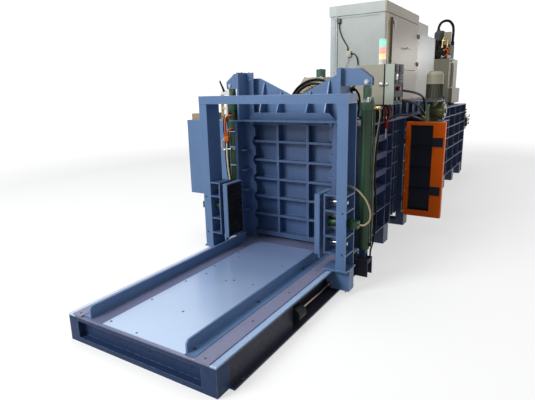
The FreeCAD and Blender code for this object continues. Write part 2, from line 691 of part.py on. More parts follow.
def chamber_wall():
    """The right wall: an inner plate stiffened by ribs, open at the wire tying bay."""
    outer = -S.wall_reach
    inner = -WALL_OUTER
    rim = (outer, inner)
    parts = [
        block((S.table_length, S.body_rear), (inner, -S.chamber_half), (S.deck_top, S.wall_top)),
        block((S.table_length, S.body_rear), rim, (S.wall_top - S.plate, S.wall_top)),
        block((S.table_length, S.bay_front), rim, (S.wall_low, S.wall_low + S.plate)),
        block((S.bay_rear, S.body_rear), rim, (S.wall_low, S.wall_low + S.plate)),
    ]
    front_ribs = (S.table_length, S.box_rib_rear, S.bay_front - S.plate)
    for along in front_ribs:
        parts.append(block((along, along + S.plate), rim, (S.wall_low, S.wall_top)))
    for along in wall_verticals():
        parts.append(block((along, along + S.plate), rim, (S.wall_low, S.wall_top)))
    for step in range(4):
        low = S.row_first + S.row_pitch * step
        parts.append(block((S.table_length, S.box_rib_rear), rim, (low - S.box_rib / 2, low + S.box_rib / 2)))
        parts.append(block((S.box_rib_rear, S.bay_front), rim, (low, low + S.plate)))
        parts.append(block((S.bay_rear, S.body_rear), rim, (low, low + S.plate)))
    lowest = S.wall_low + (S.row_first - S.wall_low) / 2
    parts.append(block((S.table_length, S.bay_front), rim, (lowest, lowest + S.plate)))
    parts.append(block((S.bay_rear, S.body_rear), rim, (lowest, lowest + S.plate)))
    # the tying bay's own ribs stand back from the wires and the closed gate
    sunk = (-S.bay_rib_reach, inner)
    for step in range(1, 5):
        along = S.bay_front + S.bay_rib_pitch * step
        parts.append(block((along, along + S.plate), sunk, (S.wall_low, S.wall_top)))
    for low in [lowest] + [S.row_first + S.row_pitch * step for step in range(4)]:
        parts.append(block((S.bay_front, S.bay_rear), sunk, (low, low + S.plate)))
    return union(parts)


wall = chamber_wall()
node(mirror(wall), "chamber_wall_left")


def chamber_roof():
    """The roof plate with the feed opening, and the pedestal of the prefill valve."""
    roof = block((S.table_length, S.curb_rear), (-S.chamber_half, S.chamber_half),
                 (S.chamber_height, S.chamber_height + S.roof_thick))
    feed = block((S.feed_front, S.feed_rear), (-S.feed_half, S.feed_half),
                 (S.chamber_height - 5, S.chamber_height + S.roof_thick + 5))
    ribs = []
    for step in range(3):
        along = S.table_length + 60 + (S.curb_front - S.table_length) / 3 * step
        ribs.append(block((along, along + S.plate), (-S.chamber_half, S.chamber_half),
                          (S.chamber_height + S.roof_thick, S.wall_top)))
    return union([minus(roof, [feed])] + ribs)


node(chamber_roof(), "chamber_roof")


def rear_plate():
    """The thick plate across the rear that the main cylinder is seated in."""
    plate = block((S.body_rear, S.body_rear + S.rear_thick), (-S.wall_reach, S.wall_reach),
                  (S.beam_low / 2, S.wall_top))
    seat = bar("x", S.main_barrel + S.slide_gap, (0, S.main_height),
               (S.body_rear - 5, S.body_rear + S.rear_thick + 5))
    return minus(plate, [seat])


node(union([body_base(), rear_plate()]), "body_base")

MAIN_REAR = MACHINE_LENGTH
main = cylinder_tube("x", (0, S.main_height), (S.main_front, MAIN_REAR), S.main_barrel, S.main_bore,
                     S.main_rod + S.running_gap, S.main_barrel + 15, 60, 120, -1)
main_flange = bar("x", S.main_cap, (0, S.main_height), (S.body_rear + S.rear_thick, MAIN_REAR))
node(union([main, main_flange]), "main_cylinder")


# ---------------------------------------------------------------- feed hopper

def hopper_curb():
    """The shaft between the roof and the hopper, with ribs outside, and its closed rear."""
    height = (S.wall_top, S.curb_top)
    sheet = S.wall_edge
    shaft_rear = S.hopper_rear + S.curb_rib
    parts = [
        block((S.curb_front, S.curb_front + sheet), (-S.curb_half, S.curb_half), height),
        block((shaft_rear, shaft_rear + sheet), (-S.curb_half, S.curb_half), height),
        block((S.curb_rear - sheet, S.curb_rear), (-S.curb_half, S.curb_half), height),
        block((S.curb_front, S.curb_rear), (-S.curb_half, -S.curb_half + sheet), height),
        block((S.curb_front, S.curb_rear), (S.curb_half - sheet, S.curb_half), height),
    ]
    top = block((S.curb_front, S.curb_rear), (-S.curb_half, S.curb_half),
                (S.curb_top - sheet, S.curb_top))
    mouth = block((S.hopper_front + S.hopper_sheet, S.hopper_rear - S.hopper_sheet),
                  (-S.hopper_half + S.hopper_sheet, S.hopper_half - S.hopper_sheet),
                  (S.curb_top - sheet * 2, S.curb_top + sheet))
    parts.append(minus(top, [mouth]))
    count = 10
    pitch = (S.curb_rear - S.curb_front - S.plate) / count
    for step in range(count + 1):
        along = S.curb_front + pitch * step
        for side in (-1, 1):
            across = (S.curb_half * side, (S.curb_half + S.curb_rib) * side)
            parts.append(block((along, along + S.plate), across, height))
    middle = (shaft_rear + S.curb_rear) / 2
    parts.append(block((middle, middle + sheet), (-S.curb_half, S.curb_half), height))
    parts.append(block((shaft_rear, S.curb_rear), (-sheet / 2, sheet / 2), height))
    return union(parts)


node(hopper_curb(), "hopper_curb")

DOOR_LOW = S.motor_top + S.access_lap - 5


def hopper():
    """Four sheet walls with a folded rim, a framed front and the hatch in the right wall."""
    height = (S.curb_top, S.hopper_top)
    outside = block((S.hopper_front, S.hopper_rear), (-S.hopper_half, S.hopper_half), height)
    inside = block((S.hopper_front + S.hopper_sheet, S.hopper_rear - S.hopper_sheet),
                   (-S.hopper_half + S.hopper_sheet, S.hopper_half - S.hopper_sheet),
                   (S.curb_top - 5, S.hopper_top + 5))
    hatch = block((S.access_front, S.access_rear), (-S.hopper_half - 5, -S.hopper_half + 10),
                  (S.access_low, S.access_high))
    rim_low = S.hopper_top - S.hopper_rim_height
    rim = minus(block((S.hopper_front - S.hopper_rim, S.hopper_rear + S.hopper_rim),
                      (-S.hopper_half - S.hopper_rim, S.hopper_half + S.hopper_rim),
                      (rim_low, S.hopper_top)),
                [block((S.hopper_front, S.hopper_rear), (-S.hopper_half, S.hopper_half),
                       (rim_low - 5, S.hopper_top + 5))])
    frame = minus(block((S.hopper_front - S.hopper_sheet, S.hopper_front),
                        (-S.hopper_half, S.hopper_half), (S.curb_top, rim_low)),
                  [block((S.hopper_front - S.hopper_sheet - 5, S.hopper_front + 5),
                         (-S.hopper_half + S.hopper_frame, S.hopper_half - S.hopper_frame),
                         (S.curb_top + S.hopper_frame, rim_low - S.hopper_frame / 2))])
    leaf = HATCH_HINGE
    hinges = []
    for low in hatch_hinge_heights():
        hinges.append(block((leaf[0] - 6, S.hopper_rear), (leaf[1], -S.hopper_half), (low, low + 24)))
        hinges.append(bar("z", 10, leaf, (low, low + 24)))
        hinges.append(bar("z", 5, leaf, (low + 24, low + 54)))
    return union([minus(outside, [inside, hatch]), rim, frame] + hinges)


HATCH_HINGE = (S.hopper_rear - 6, -S.hopper_half - S.access_sheet - 12)


def hatch_hinge_heights():
    """The undersides of the hatch's two hinges."""
    return (DOOR_LOW + 60, S.access_high - 110)


node(hopper(), "hopper")


def hatch_door():
    """The upper panel of the right wall, hinged at its rear edge."""
    face = -S.hopper_half - 1
    panel = block((S.access_front - S.access_lap, S.hopper_rear - 22), (face - S.access_sheet, face),
                  (DOOR_LOW, S.access_high + S.access_lap))
    parts = [panel]
    for low in hatch_hinge_heights():
        knuckle = bar("z", 10, HATCH_HINGE, (low + 24.3, low + 54))
        leaf = block((S.hopper_rear - 60, HATCH_HINGE[0]), (HATCH_HINGE[1], face - S.access_sheet),
                     (low + 24.3, low + 54))
        parts.append(minus(union([knuckle, leaf]),
                           [bar("z", 5 + S.running_gap, HATCH_HINGE, (low + 20, low + 60))]))
    latch_hole = bar("y", 8 + S.running_gap, LATCH, (face - S.access_sheet - 1, face + 1))
    return minus(union(parts), [latch_hole])


LATCH = (S.access_front - S.access_lap / 2, S.access_high - 10)
node(hatch_door(), "hopper_door")


def hatch_latch():
    """The quarter-turn handle of the hatch: its spindle passes through the panel."""
    face = -S.hopper_half - 1
    outside = face - S.access_sheet
    return union([bar("y", 8, LATCH, (outside - 16, face)),
                  bar("y", S.latch_radius, LATCH, (outside - 16, outside - 0.3)),
                  block((LATCH[0] - 9, LATCH[0] + 9), (outside - 26, outside - 14),
                        (LATCH[1] - 70, LATCH[1] + 9))])


node(hatch_latch(), "hopper_latch")

node(block((S.access_front - S.access_lap, S.hopper_rear - 22),
           (-S.hopper_half - S.access_sheet, -S.hopper_half),
           (S.access_low - S.access_lap, DOOR_LOW - 6)), "hopper_panel")


# ---------------------------------------------------------------- tying bay gate

GATE_AXIS = (S.gate_hinge, -S.wall_reach - S.hinge_radius - 4)
GATE_INNER = GATE_AXIS[1] - S.hinge_radius - 2
GATE_OUTER = GATE_INNER - S.gate_width
GATE_FRONT = S.gate_hinge - S.gate_depth
GATE_HINGES = (S.gate_low + 150, S.gate_high - 250)


def gate_skin():
    """The gate's folded tray, standing open square to the wall, with its hinge knuckles."""
    tray = Piece("tray", GATE_FRONT, GATE_OUTER, S.gate_low)
    height = S.gate_high - S.gate_low
    tray.pad("yz", S.gate_depth, [rectangle((0, S.gate_width), (0, height))])
    window = rectangle((S.gate_free_edge, S.gate_width - S.gate_edge - 14),
                       (S.gate_edge * 2, height - S.gate_edge))
    tray.pocket("yz", S.gate_depth - S.gate_sheet, [window])
    slot = tray.pocket("yz", 10, [rectangle((S.gate_width - 30, S.gate_width - 12), (290, 322))])
    tray.row(slot, "V_Axis", 196, 4)
    parts = [tray.body]
    for low in GATE_HINGES:
        parts.append(minus(union([bar("z", S.hinge_radius, GATE_AXIS, (low + 50.3, low + 100)),
                                  block((GATE_AXIS[0] - S.hinge_radius, GATE_AXIS[0]),
                                        (GATE_INNER, GATE_AXIS[1]), (low + 50.3, low + 100))]),
                           [bar("z", 8 + S.running_gap, GATE_AXIS, (low + 40, low + 110))]))
    return union(parts)


node(gate_skin(), "gate_skin")


def gate_core():
    """The ribbed panel inside the tray and the two straps that hold it."""
    height = S.gate_high - S.gate_low
    wide = (S.gate_free_edge + 0.3, S.gate_width - S.gate_edge - 14.3)
    tall = (S.gate_edge * 2 + 0.3, height - S.gate_edge - 0.3)
    core = Piece("core", GATE_FRONT, GATE_OUTER, S.gate_low)
    depth = S.gate_depth - S.gate_sheet
    core.pad("yz", 12, [rectangle(wide, tall)], offset=depth - 12)
    pitch = (tall[1] - tall[0] - 10) / (S.gate_ribs - 1)
    rib = core.pad("yz", 30, [rectangle(wide, (tall[0], tall[0] + 10))], offset=depth - 42)
    core.row(rib, "V_Axis", pitch, int(S.gate_ribs.value))
    straps = [block((GATE_FRONT - 6, GATE_FRONT), (GATE_OUTER + 18, GATE_OUTER + S.gate_free_edge + 10),
                    (low, low + 100)) for low in (S.gate_low + 262, S.gate_high - 270)]
    return group([core.body] + straps)


node(gate_core(), "gate_core")


def gate_hinges():
    """The fixed knuckles and pins of the gate, on the bay's rear rib."""
    parts = []
    for low in GATE_HINGES:
        parts.append(union([
            bar("z", S.hinge_radius, GATE_AXIS, (low, low + 50)),
            bar("z", 8, GATE_AXIS, (low + 50, low + 104)),
            block((GATE_AXIS[0], S.bay_rear + S.plate), (GATE_AXIS[1] - S.hinge_radius, -S.wall_reach),
                  (low, low + 50))]))
    return union(parts)


node(union([wall, gate_hinges()]), "chamber_wall_right")


# ---------------------------------------------------------------- ram

RAM_LOW = S.deck_top + S.slide_gap
RAM_HALF = S.chamber_half - S.ram_gap
RAM_HIGH = S.chamber_height - S.ram_gap


def press_ram():
    """The ram: a thick face with a long hollow box behind it that covers the feed opening."""
    outside = block((S.ram_front, S.ram_front + S.ram_length), (-RAM_HALF, RAM_HALF),
                    (RAM_LOW, RAM_HIGH))
    hollow = block((S.ram_front + S.ram_face, S.ram_front + S.ram_length + 5),
                   (-RAM_HALF + S.ram_wall, RAM_HALF - S.ram_wall),
                   (RAM_LOW + S.ram_wall, RAM_HIGH - S.ram_wall))
    return minus(outside, [hollow])


node(press_ram(), "press_ram")

PISTON_FRONT = S.main_front + 60 + S.ram_travel + 10
node(union([bar("x", S.main_rod, (0, S.main_height),
                (S.ram_front + S.ram_face, PISTON_FRONT + S.main_piston)),
            bar("x", S.main_bore - S.piston_gap, (0, S.main_height),
                (PISTON_FRONT, PISTON_FRONT + S.main_piston)),
            bar("x", S.main_rod + 35, (0, S.main_height),
                (S.ram_front + S.ram_face, S.ram_front + S.ram_face + 30))]), "main_rod")


# ---------------------------------------------------------------- bale puller carriage

FOOT_LOW = STRIP_TOP + S.slide_gap
FOOT_TOP = FOOT_LOW + S.foot_thick
PORTAL_REAR = S.portal_front + S.portal_depth
PORTAL_SPAN = (S.portal_front, PORTAL_REAR)
POST_INNER = S.post_reach - S.post_width
RACK_INNER = POST_INNER - S.rack_width


def portal_post(side):
    """A channel open to the outside, standing on its foot plate."""
    inner = S.carriage_centre + POST_INNER * side
    outer = S.carriage_centre + S.post_reach * side

    height = (FOOT_TOP, S.portal_top)
    parts = [
        block(PORTAL_SPAN, (inner, inner + S.plate * side), height),
        block((S.portal_front, S.portal_front + S.plate), (inner, outer), height),
        block((PORTAL_REAR - S.plate, PORTAL_REAR), (inner, outer), height),
        block((S.portal_front - 5, PORTAL_REAR + 5),
              (inner - S.foot_inward * side, outer + S.foot_spread * side), (FOOT_LOW, FOOT_TOP)),
    ]
    for low in (S.rack_bottom - S.plate, S.shelf_lower, S.shelf_upper, S.rack_top - S.plate):
        parts.append(block(PORTAL_SPAN, (inner, outer), (low, low + S.plate)))
    return parts


def portal_frame():
    """The bale puller's portal: two channel posts, a box beam and the arm to its cylinder."""
    beam_low = S.portal_top - S.beam_height
    left = S.carriage_centre + S.post_reach
    right = S.carriage_centre - S.post_reach
    beam = minus(block(PORTAL_SPAN, (right, left), (beam_low, S.portal_top)),
                 [block((S.portal_front + S.plate, PORTAL_REAR - S.plate),
                        (right + S.plate, left - S.plate),
                        (beam_low + S.plate, S.portal_top - S.plate))])
    arm_high = FOOT_LOW + 1
    arm = block((S.arm_front, S.arm_front + S.arm_length),
                (PULLER_ACROSS - S.arm_thick, PULLER_ACROSS + S.gland_radius - 10),
                (S.puller_height - S.puller_barrel, S.deck_top - S.deck_thick - 4))
    hanger = block((S.arm_front, S.arm_front + S.arm_length),
                   (right - S.foot_spread, RIGHT - S.foot_spread),
                   (S.puller_height - S.puller_barrel, arm_high))
    tools = []
    for side in (-1, 1):
        inner = S.carriage_centre + POST_INNER * side
        for height in (S.guide_high, S.guide_low):
            tools.append(bar("y", S.guide_radius + S.rod_hole_gap, (ROD_ALONG, height),
                             (inner - 2 * side, inner + (S.plate + 2) * side)))
        tools.append(bar("y", S.clamp_barrel + S.running_gap, (ROD_ALONG, S.clamp_axis),
                         (inner - 2 * side, inner + (S.plate + 2) * side)))
    return minus(union(portal_post(1) + portal_post(-1) + [beam, arm, hanger]), tools)


ROD_ALONG = S.portal_front + S.portal_depth / 2
node(portal_frame(), "portal_frame")


def clamp_rack(side):
    """The shelves between a post and the pad, with the bushes of the guide rods."""
    post = S.carriage_centre + POST_INNER * side
    inner = S.carriage_centre + RACK_INNER * side

    parts = [block(PORTAL_SPAN, (inner, inner + S.plate * side), (S.rack_bottom, S.rack_top))]
    for low in (S.rack_bottom, S.shelf_lower, S.shelf_upper, S.rack_top - S.plate):
        parts.append(block(PORTAL_SPAN, (inner, post), (low, low + S.plate)))
    tools = []
    for height in (S.guide_high, S.guide_low):
        parts.append(bar("y", S.bush_radius, (ROD_ALONG, height),
                         (inner, inner + S.bush_length * side)))
        tools.append(bar("y", S.guide_radius + S.running_gap, (ROD_ALONG, height),
                         (inner - 5 * side, inner + (S.bush_length + 5) * side)))
    tools.append(bar("y", S.clamp_rod + S.rod_hole_gap, (ROD_ALONG, S.clamp_axis),
                     (inner - 5 * side, inner + (S.plate + 5) * side)))
    return minus(union(parts), tools)


def clamp_cylinder(side):
    """The clamp's barrel, through the post's web, with its port block outside."""
    inner = S.carriage_centre + (RACK_INNER + S.plate) * side
    end = S.carriage_centre + S.clamp_end * side
    spot = (ROD_ALONG, S.clamp_axis)
    barrel = cylinder_tube("y", spot, (inner, end), S.clamp_barrel, S.clamp_bore,
                           S.clamp_rod + S.running_gap, S.clamp_flange, 20, 15, -side)
    ports = block((ROD_ALONG - S.port_block / 2, ROD_ALONG + S.port_block / 2),
                  (end, end + S.port_block * side),
                  (S.clamp_axis - S.port_block / 2, S.clamp_axis + S.port_block / 2))
    return union([barrel, ports])


def clamp_pad(side):
    """The steel tray that carries the rubber, with its two bosses for the guide rods."""
    face = S.carriage_centre + S.pad_gap * side
    back = face + S.pad_thick * side
    rear = S.portal_front + S.pad_length

    tray = minus(block((S.portal_front, rear), (face, back), (S.pad_low, S.pad_high)),
                 [block((S.portal_front + S.pad_rim, rear - S.pad_rim),
                        (face - 5 * side, back - S.pad_back * side),
                        (S.pad_low + S.pad_rim, S.pad_high - S.pad_rim))])
    gusset = prism("xz", [(S.portal_front, S.pad_low), (S.portal_front + S.pad_length * 0.45, S.pad_low),
                          (S.portal_front + S.pad_length * 0.1, S.pad_low - S.pad_gusset),
                          (S.portal_front, S.pad_low - S.pad_gusset)],
                   (back - S.plate * side, back))
    return union([tray, gusset])


def clamp_rubber(side):
    """Three grooved rubber blocks in the tray, standing a little proud of it."""
    face = S.carriage_centre + (S.pad_gap - S.rubber_stand) * side
    back = S.carriage_centre + (S.pad_gap + S.pad_thick - S.pad_back) * side - 0.3 * side
    along = (S.portal_front + S.pad_rim + 0.3, S.portal_front + S.pad_length - S.pad_rim - 0.3)
    bottom = S.pad_low + S.pad_rim + 0.3
    height = (S.pad_high - S.pad_low - S.pad_rim * 2 - 0.6 - S.rubber_joint * 2) / 3
    blocks = []
    for step in range(3):
        low = bottom + (height + S.rubber_joint) * step
        solid = block(along, (face, back), (low, low + height))
        grooves = []
        for turn in range(3):
            middle = low + height / 3 * (turn + 0.5)
            grooves.append(block((along[0] - 5, along[1] + 5),
                                 (face - 5 * side, face + S.rubber_groove / 2 * side),
                                 (middle - S.rubber_groove / 2, middle + S.rubber_groove / 2)))
        blocks.append(minus(solid, grooves))
    return group(blocks)


def clamp_rods(side):
    """The two guide rods and the piston rod that carry a pad."""
    back = S.carriage_centre + (S.pad_gap + S.pad_thick) * side
    end = S.carriage_centre + S.guide_end * side
    piston = S.carriage_centre + (RACK_INNER + S.plate + 20 + S.clamp_travel + 5) * side

    rods = [bar("y", S.guide_radius, (ROD_ALONG, height), (back, end))
            for height in (S.guide_high, S.guide_low)]
    rods.append(union([bar("y", S.clamp_rod, (ROD_ALONG, S.clamp_axis), (back, piston)),
                       bar("y", S.clamp_bore - S.piston_gap, (ROD_ALONG, S.clamp_axis),
                           (piston, piston + S.piston_length * side))]))
    return group(rods)


node(group([clamp_rack(1), clamp_rack(-1)]), "clamp_racks")
node(group([clamp_cylinder(1), clamp_cylinder(-1)]), "clamp_cylinders")
for word, side in (("left", 1), ("right", -1)):
    node(clamp_pad(side), "clamp_pad_" + word)
    node(clamp_rubber(side), "clamp_rubber_" + word)
    node(clamp_rods(side), "clamp_rods_" + word)

PULLER_PISTON = S.puller_front + 20 + S.carriage_travel + 5
node(union([bar("x", S.puller_rod, (PULLER_ACROSS, S.puller_height),
                (PULLER_PISTON, S.arm_front)),
            bar("x", S.puller_bore - S.piston_gap, (PULLER_ACROSS, S.puller_height),
                (PULLER_PISTON, PULLER_PISTON + 40)),
            bar("x", S.puller_rod + 12, (PULLER_ACROSS, S.puller_height),
                (S.arm_front - 20, S.arm_front))]), "puller_rod")


# ---------------------------------------------------------------- end door and yoke

def door_panel():
    """The ribbed guillotine door: a deep slab with three cells in each of its rows."""
    door = Piece("door", S.door_front, 0, 0)
    door.pad("yz", S.door_depth, [rectangle((-S.door_half, S.door_half), (S.door_bottom, S.door_top))])
    half_post = S.door_post / 2
    half_rail = S.door_rail / 2
    columns = [(-S.door_half + S.door_post, -S.door_post_across - half_post),
               (-S.door_post_across + half_post, S.door_post_across - half_post),
               (S.door_post_across + half_post, S.door_half - S.door_post)]
    first = S.door_row_first - S.door_row_pitch
    rows = (first + half_rail, first + S.door_row_pitch - half_rail)
    cells = door.pocket("yz", S.door_depth - S.door_skin, [rectangle(span, rows) for span in columns])
    door.row(cells, "V_Axis", S.door_row_pitch, 6)
    return door.body


node(door_panel(), "door_panel")

YOKE_LOW = S.door_top
YOKE_TOP = S.door_top + S.yoke_plate


def lug_plate(side, along):
    """One of the plates that hold a lift cylinder's pin."""
    inner = (S.column_inner + S.column_plate) * side
    outer = S.lift_centre + (S.lug_reach + S.lift_centre) * side
    chamfer = S.lift_centre + (S.lug_chamfer_across + S.lift_centre) * side
    plate = prism("yz", [(inner, S.lug_low), (outer, S.lug_low), (outer, S.lug_chamfer_high),
                         (chamfer, S.lug_high), (inner, S.lug_high)], (along, along + S.lug_thick))
    hole = bar("x", S.pin_radius + S.running_gap, (lift_place(side), S.pin_height),
               (along - 5, along + S.lug_thick + 5))
    return minus(plate, [hole])


def door_yoke():
    """The head the door hangs from: base plate, front bar, notched web, stubs and lugs."""
    rear = S.table_length
    # the base plate's left end is cut back to clear the lift cylinder beside it
    parts = [prism("xy", [(S.yoke_front, -S.yoke_half), (rear, -S.yoke_half), (rear, S.notch_across),
                          (S.notch_front, S.notch_across), (S.notch_front, S.yoke_left),
                          (S.yoke_front, S.yoke_left)], (YOKE_LOW, YOKE_TOP))]
    chamfer = S.bar_height
    parts.append(prism("yz", [(-S.bar_half, YOKE_TOP), (S.bar_half, YOKE_TOP),
                              (S.bar_half - chamfer, YOKE_TOP + S.bar_height),
                              (-S.bar_half + chamfer, YOKE_TOP + S.bar_height)],
                       (S.bar_front, S.bar_front + S.web_thick)))
    edge = S.column_inner
    parts.append(prism("yz", [(-edge, YOKE_TOP), (edge, YOKE_TOP), (edge, S.vee_high),
                              (S.vee_outer, S.vee_high), (S.vee_inner, S.vee_low),
                              (-S.vee_inner, S.vee_low), (-S.vee_outer, S.vee_high),
                              (-edge, S.vee_high)],
                       (rear - S.web_thick, rear)))
    for side in (-1, 1):
        for across in (S.rib_across, S.rib_outer):
            slope = (across - S.vee_inner) / (S.vee_outer - S.vee_inner)
            rib_top = S.vee_low + (S.vee_high - S.vee_low) * slope - 20
            middle = across * side
            parts.append(prism("xz", [(S.bar_front + S.web_thick, YOKE_TOP),
                                      (rear - S.web_thick, YOKE_TOP), (rear - S.web_thick, rib_top),
                                      (rear - S.web_thick - 14, rib_top),
                                      (S.bar_front + S.web_thick, YOKE_TOP + S.bar_height)],
                               (middle - S.plate / 2, middle + S.plate / 2)))
        stub = (edge * side, (edge + S.column_plate) * side)
        parts.append(block((S.stub_front, rear), stub, (YOKE_TOP, S.stub_top)))
        flange = ((edge - S.stub_flange) * side, edge * side)
        parts.append(block((S.stub_flange_front, S.stub_flange_front + S.plate), flange,
                           (YOKE_TOP, S.stub_top)))
        tab = (405 * size_of(side), 435 * size_of(side))
        parts.append(block((S.guide_front - 20, S.guide_front - 5), tab, (YOKE_LOW - 42, YOKE_LOW)))
        for along in (S.lift_along - S.eye_thick / 2 - S.lug_thick, S.lift_along + S.eye_thick / 2):
            parts.append(lug_plate(side, along))
    return union(parts)


node(door_yoke(), "door_yoke")


def lift_rod():
    """A lift cylinder's rod: piston below, eye and pin above."""
    spot = (S.lift_along, -S.lift_across)
    eye = (-S.lift_across, S.pin_height)
    half = S.eye_thick / 2
    piston = S.lift_bottom + 20 + 5
    rod = union([bar("z", S.lift_rod, spot, (piston, S.eye_low)),
                 bar("z", S.lift_bore - S.piston_gap, spot, (piston, piston + 50)),
                 bar("z", S.lift_rod + 12, spot, (S.eye_low, S.eye_low + 70)),
                 block((S.lift_along - half, S.lift_along + half),
                       (-S.lift_across - S.eye_radius, -S.lift_across + S.eye_radius),
                       (S.eye_low + 70, S.pin_height)),
                 bar("x", S.eye_radius, eye, (S.lift_along - half, S.lift_along + half))])
    ends = half + S.lug_thick + 10
    pin = bar("x", S.pin_radius, eye, (S.lift_along - ends, S.lift_along + ends))
    return union([rod, pin])


rod = lift_rod()
node(rod, "lift_rod_right")
node(mirror(rod, S.lift_centre), "lift_rod_left")


# ---------------------------------------------------------------- power unit and cabinets

def motor_console():
    """The shelf on the right wall that carries the motor and its pump, with two gussets."""
    reach = (-S.console_reach, -S.wall_reach)
    parts = [block((S.console_front, S.console_rear), reach,
                   (S.console_low - S.plate, S.console_low))]
    for along in (S.console_front + 40, S.console_rear - 60):
        parts.append(prism("yz", [(-S.wall_reach, S.console_low - S.plate - 260),
                                  (-S.wall_reach, S.console_low - S.plate),
                                  (-S.console_reach + 20, S.console_low - S.plate),
                                  (-S.console_reach + 20, S.console_low - S.plate - 40)],
                           (along, along + S.plate)))
    return union(parts)


def motor():
    """The upright motor: a finned body between its flange and the cowl."""
    frame = Piece("motor_frame", S.motor_along, S.motor_across, S.motor_low)
    waist = S.motor_waist - S.motor_low
    frame.turn("xz", [(0, 0), (S.motor_radius + 18, 0), (S.motor_radius + 18, 14),
                      (S.motor_radius, 24), (S.motor_radius, waist), (0, waist)])
    fin = frame.pad("xy", waist - 30, [rectangle((S.motor_radius - 2, S.motor_radius + S.motor_fin),
                                                 (-2, 2))], offset=30)
    frame.ring(fin, 24)
    return frame.body


def motor_cowl():
    """The fan cowl on top of the motor, with rounded shoulders."""
    cowl = Piece("cowl", S.motor_along, S.motor_across, S.motor_waist)
    height = S.motor_top - S.motor_waist
    outer = S.motor_radius + S.motor_fin - 1
    cowl.turn("xz", [(0, 0), (outer, 0), (outer, height - 42), (outer - 10, height - 20),
                     (outer - 30, height - 5), (outer - 52, height), (0, height)])
    return cowl.body


def pump_unit():
    """The pump's drum, hung crosswise under the motor, and the filter that stands beside it."""
    middle = (S.console_low + S.deck_plate_high) / 2
    axis = (S.motor_along + 40, middle)
    inner = -S.wall_reach - 15
    drum = union([bar("y", S.drum_radius, axis, (-S.drum_end, inner)),
                  bar("y", S.drum_radius - 22, axis, (-S.drum_end - 14, -S.drum_end)),
                  bar("y", 30, axis, (-S.drum_end - 30, -S.drum_end - 14)),
                  bar("z", 62, (S.motor_along, S.motor_across), (middle, S.deck_plate_high)),
                  block((axis[0] - 75, axis[0] + 75), (-S.drum_end + 45, inner - 30),
                        (S.console_low, middle))])
    spot = (S.platform_front + S.riser_radius + 8, -S.wall_reach - S.riser_radius - 27)
    riser = union([bar("z", S.riser_radius, spot, (S.console_low, S.deck_plate_high - 24)),
                   bar("z", S.riser_radius + 8, spot, (S.deck_plate_high - 62, S.deck_plate_high - 24)),
                   bar("z", 22, spot, (S.deck_plate_high - 24, S.deck_plate_high))])
    return group([drum, riser])


node(union([motor(), motor_cowl()]), "motor")
platform = block((S.platform_front, S.motor_along + 140),
                 (S.motor_across - 105, -S.curb_half - S.curb_rib), (S.deck_plate_high, S.motor_low))
node(group([motor_console(), platform]), "motor_console")
node(pump_unit(), "pump_unit")


def oil_tank():
    """The upright tank at the rear, with the sight gauge on its right side."""
    tank = block((S.tank_front, S.tank_rear), (-S.tank_half, S.tank_half), (S.tank_low, S.tank_top))
    feet = [block((along, along + 60), (-S.tank_half, S.tank_half), (S.wall_top, S.tank_low))
            for along in (S.tank_front + 60, S.tank_rear - 120)]
    gauge = block((S.tank_front + 190, S.tank_front + 250), (-S.tank_half - 22, -S.tank_half),
                  (S.tank_low + 275, S.tank_top - 65))
    lid = block((S.tank_front + 200, S.tank_rear - 120), (-420, 200), (S.tank_top, S.tank_top + 12))
    sump = block((S.tank_front + 60, S.tank_rear), (-S.tank_half - 70, -S.tank_half),
                 (S.tank_low, S.tank_low + 265))
    return union([tank, gauge, lid, sump] + feet)


MANIFOLD_LOW = S.tank_top + 12
MANIFOLD_HIGH = MANIFOLD_LOW + 240


def tank_manifold():
    """The valve block on the tank's lid, with the filter's dome and the valves on it."""
    along = S.tank_front + 400
    dome = Piece("filter_dome", along, -180, MANIFOLD_HIGH + 90)
    dome.turn("xz", [(0, 0), (98, 0), (98, 120), (88, 148), (64, 170), (0, 170)])
    return union([block((S.tank_front + 230, S.tank_rear - 160), (-400, 60), (MANIFOLD_LOW, MANIFOLD_HIGH)),
                  bar("z", 66, (along, -180), (MANIFOLD_HIGH, MANIFOLD_HIGH + 90)), dome.body,
                  block((along - 190, along - 70), (-395, -285), (MANIFOLD_HIGH, MANIFOLD_HIGH + 215)),
                  bar("z", 26, (along - 130, -190), (MANIFOLD_HIGH, MANIFOLD_HIGH + 80)),
                  bar("z", 34, (along - 90, -30), (MANIFOLD_HIGH, MANIFOLD_HIGH + 90))])


node(oil_tank(), "oil_tank")
node(tank_manifold(), "tank_manifold")

node(union([block((S.service_front, S.service_rear), (-S.service_half, S.service_half),
                  (S.curb_top, S.service_top)),
            block((S.hopper_rear + 4, S.service_front + 45), (-S.service_half - 20, -S.service_half + 5),
                  (S.curb_top, S.service_top)),
            block((S.service_front, S.service_front + 650), (5 - S.service_half, 255 - S.service_half),
                  (S.service_top, S.service_top + 150))]), "rear_cabinet")


def valve_cabinet():
    """The cabinet on the left wall, on two arms."""
    box = block((S.cabinet_front, S.cabinet_rear), (S.cabinet_inner, S.cabinet_outer),
                (S.cabinet_low, S.cabinet_high))
    arms = [block((S.cabinet_front + 60, S.cabinet_rear - 60), (S.wall_reach, S.cabinet_inner),
                  (low, low + 40)) for low in (S.cabinet_low + 40, S.cabinet_high - 90)]
    return union([box] + arms)


cabinet_units = [block((S.cabinet_front + 40, S.cabinet_front + 300),
                       (S.cabinet_outer - 260, S.cabinet_outer - 40),
                       (S.cabinet_high, S.cabinet_high + 70)),
                 bar("z", 30, (S.cabinet_front + 400, S.cabinet_outer - 400),
                     (S.cabinet_high, S.cabinet_high + 95))]
node(group([valve_cabinet()] + cabinet_units), "valve_cabinet")


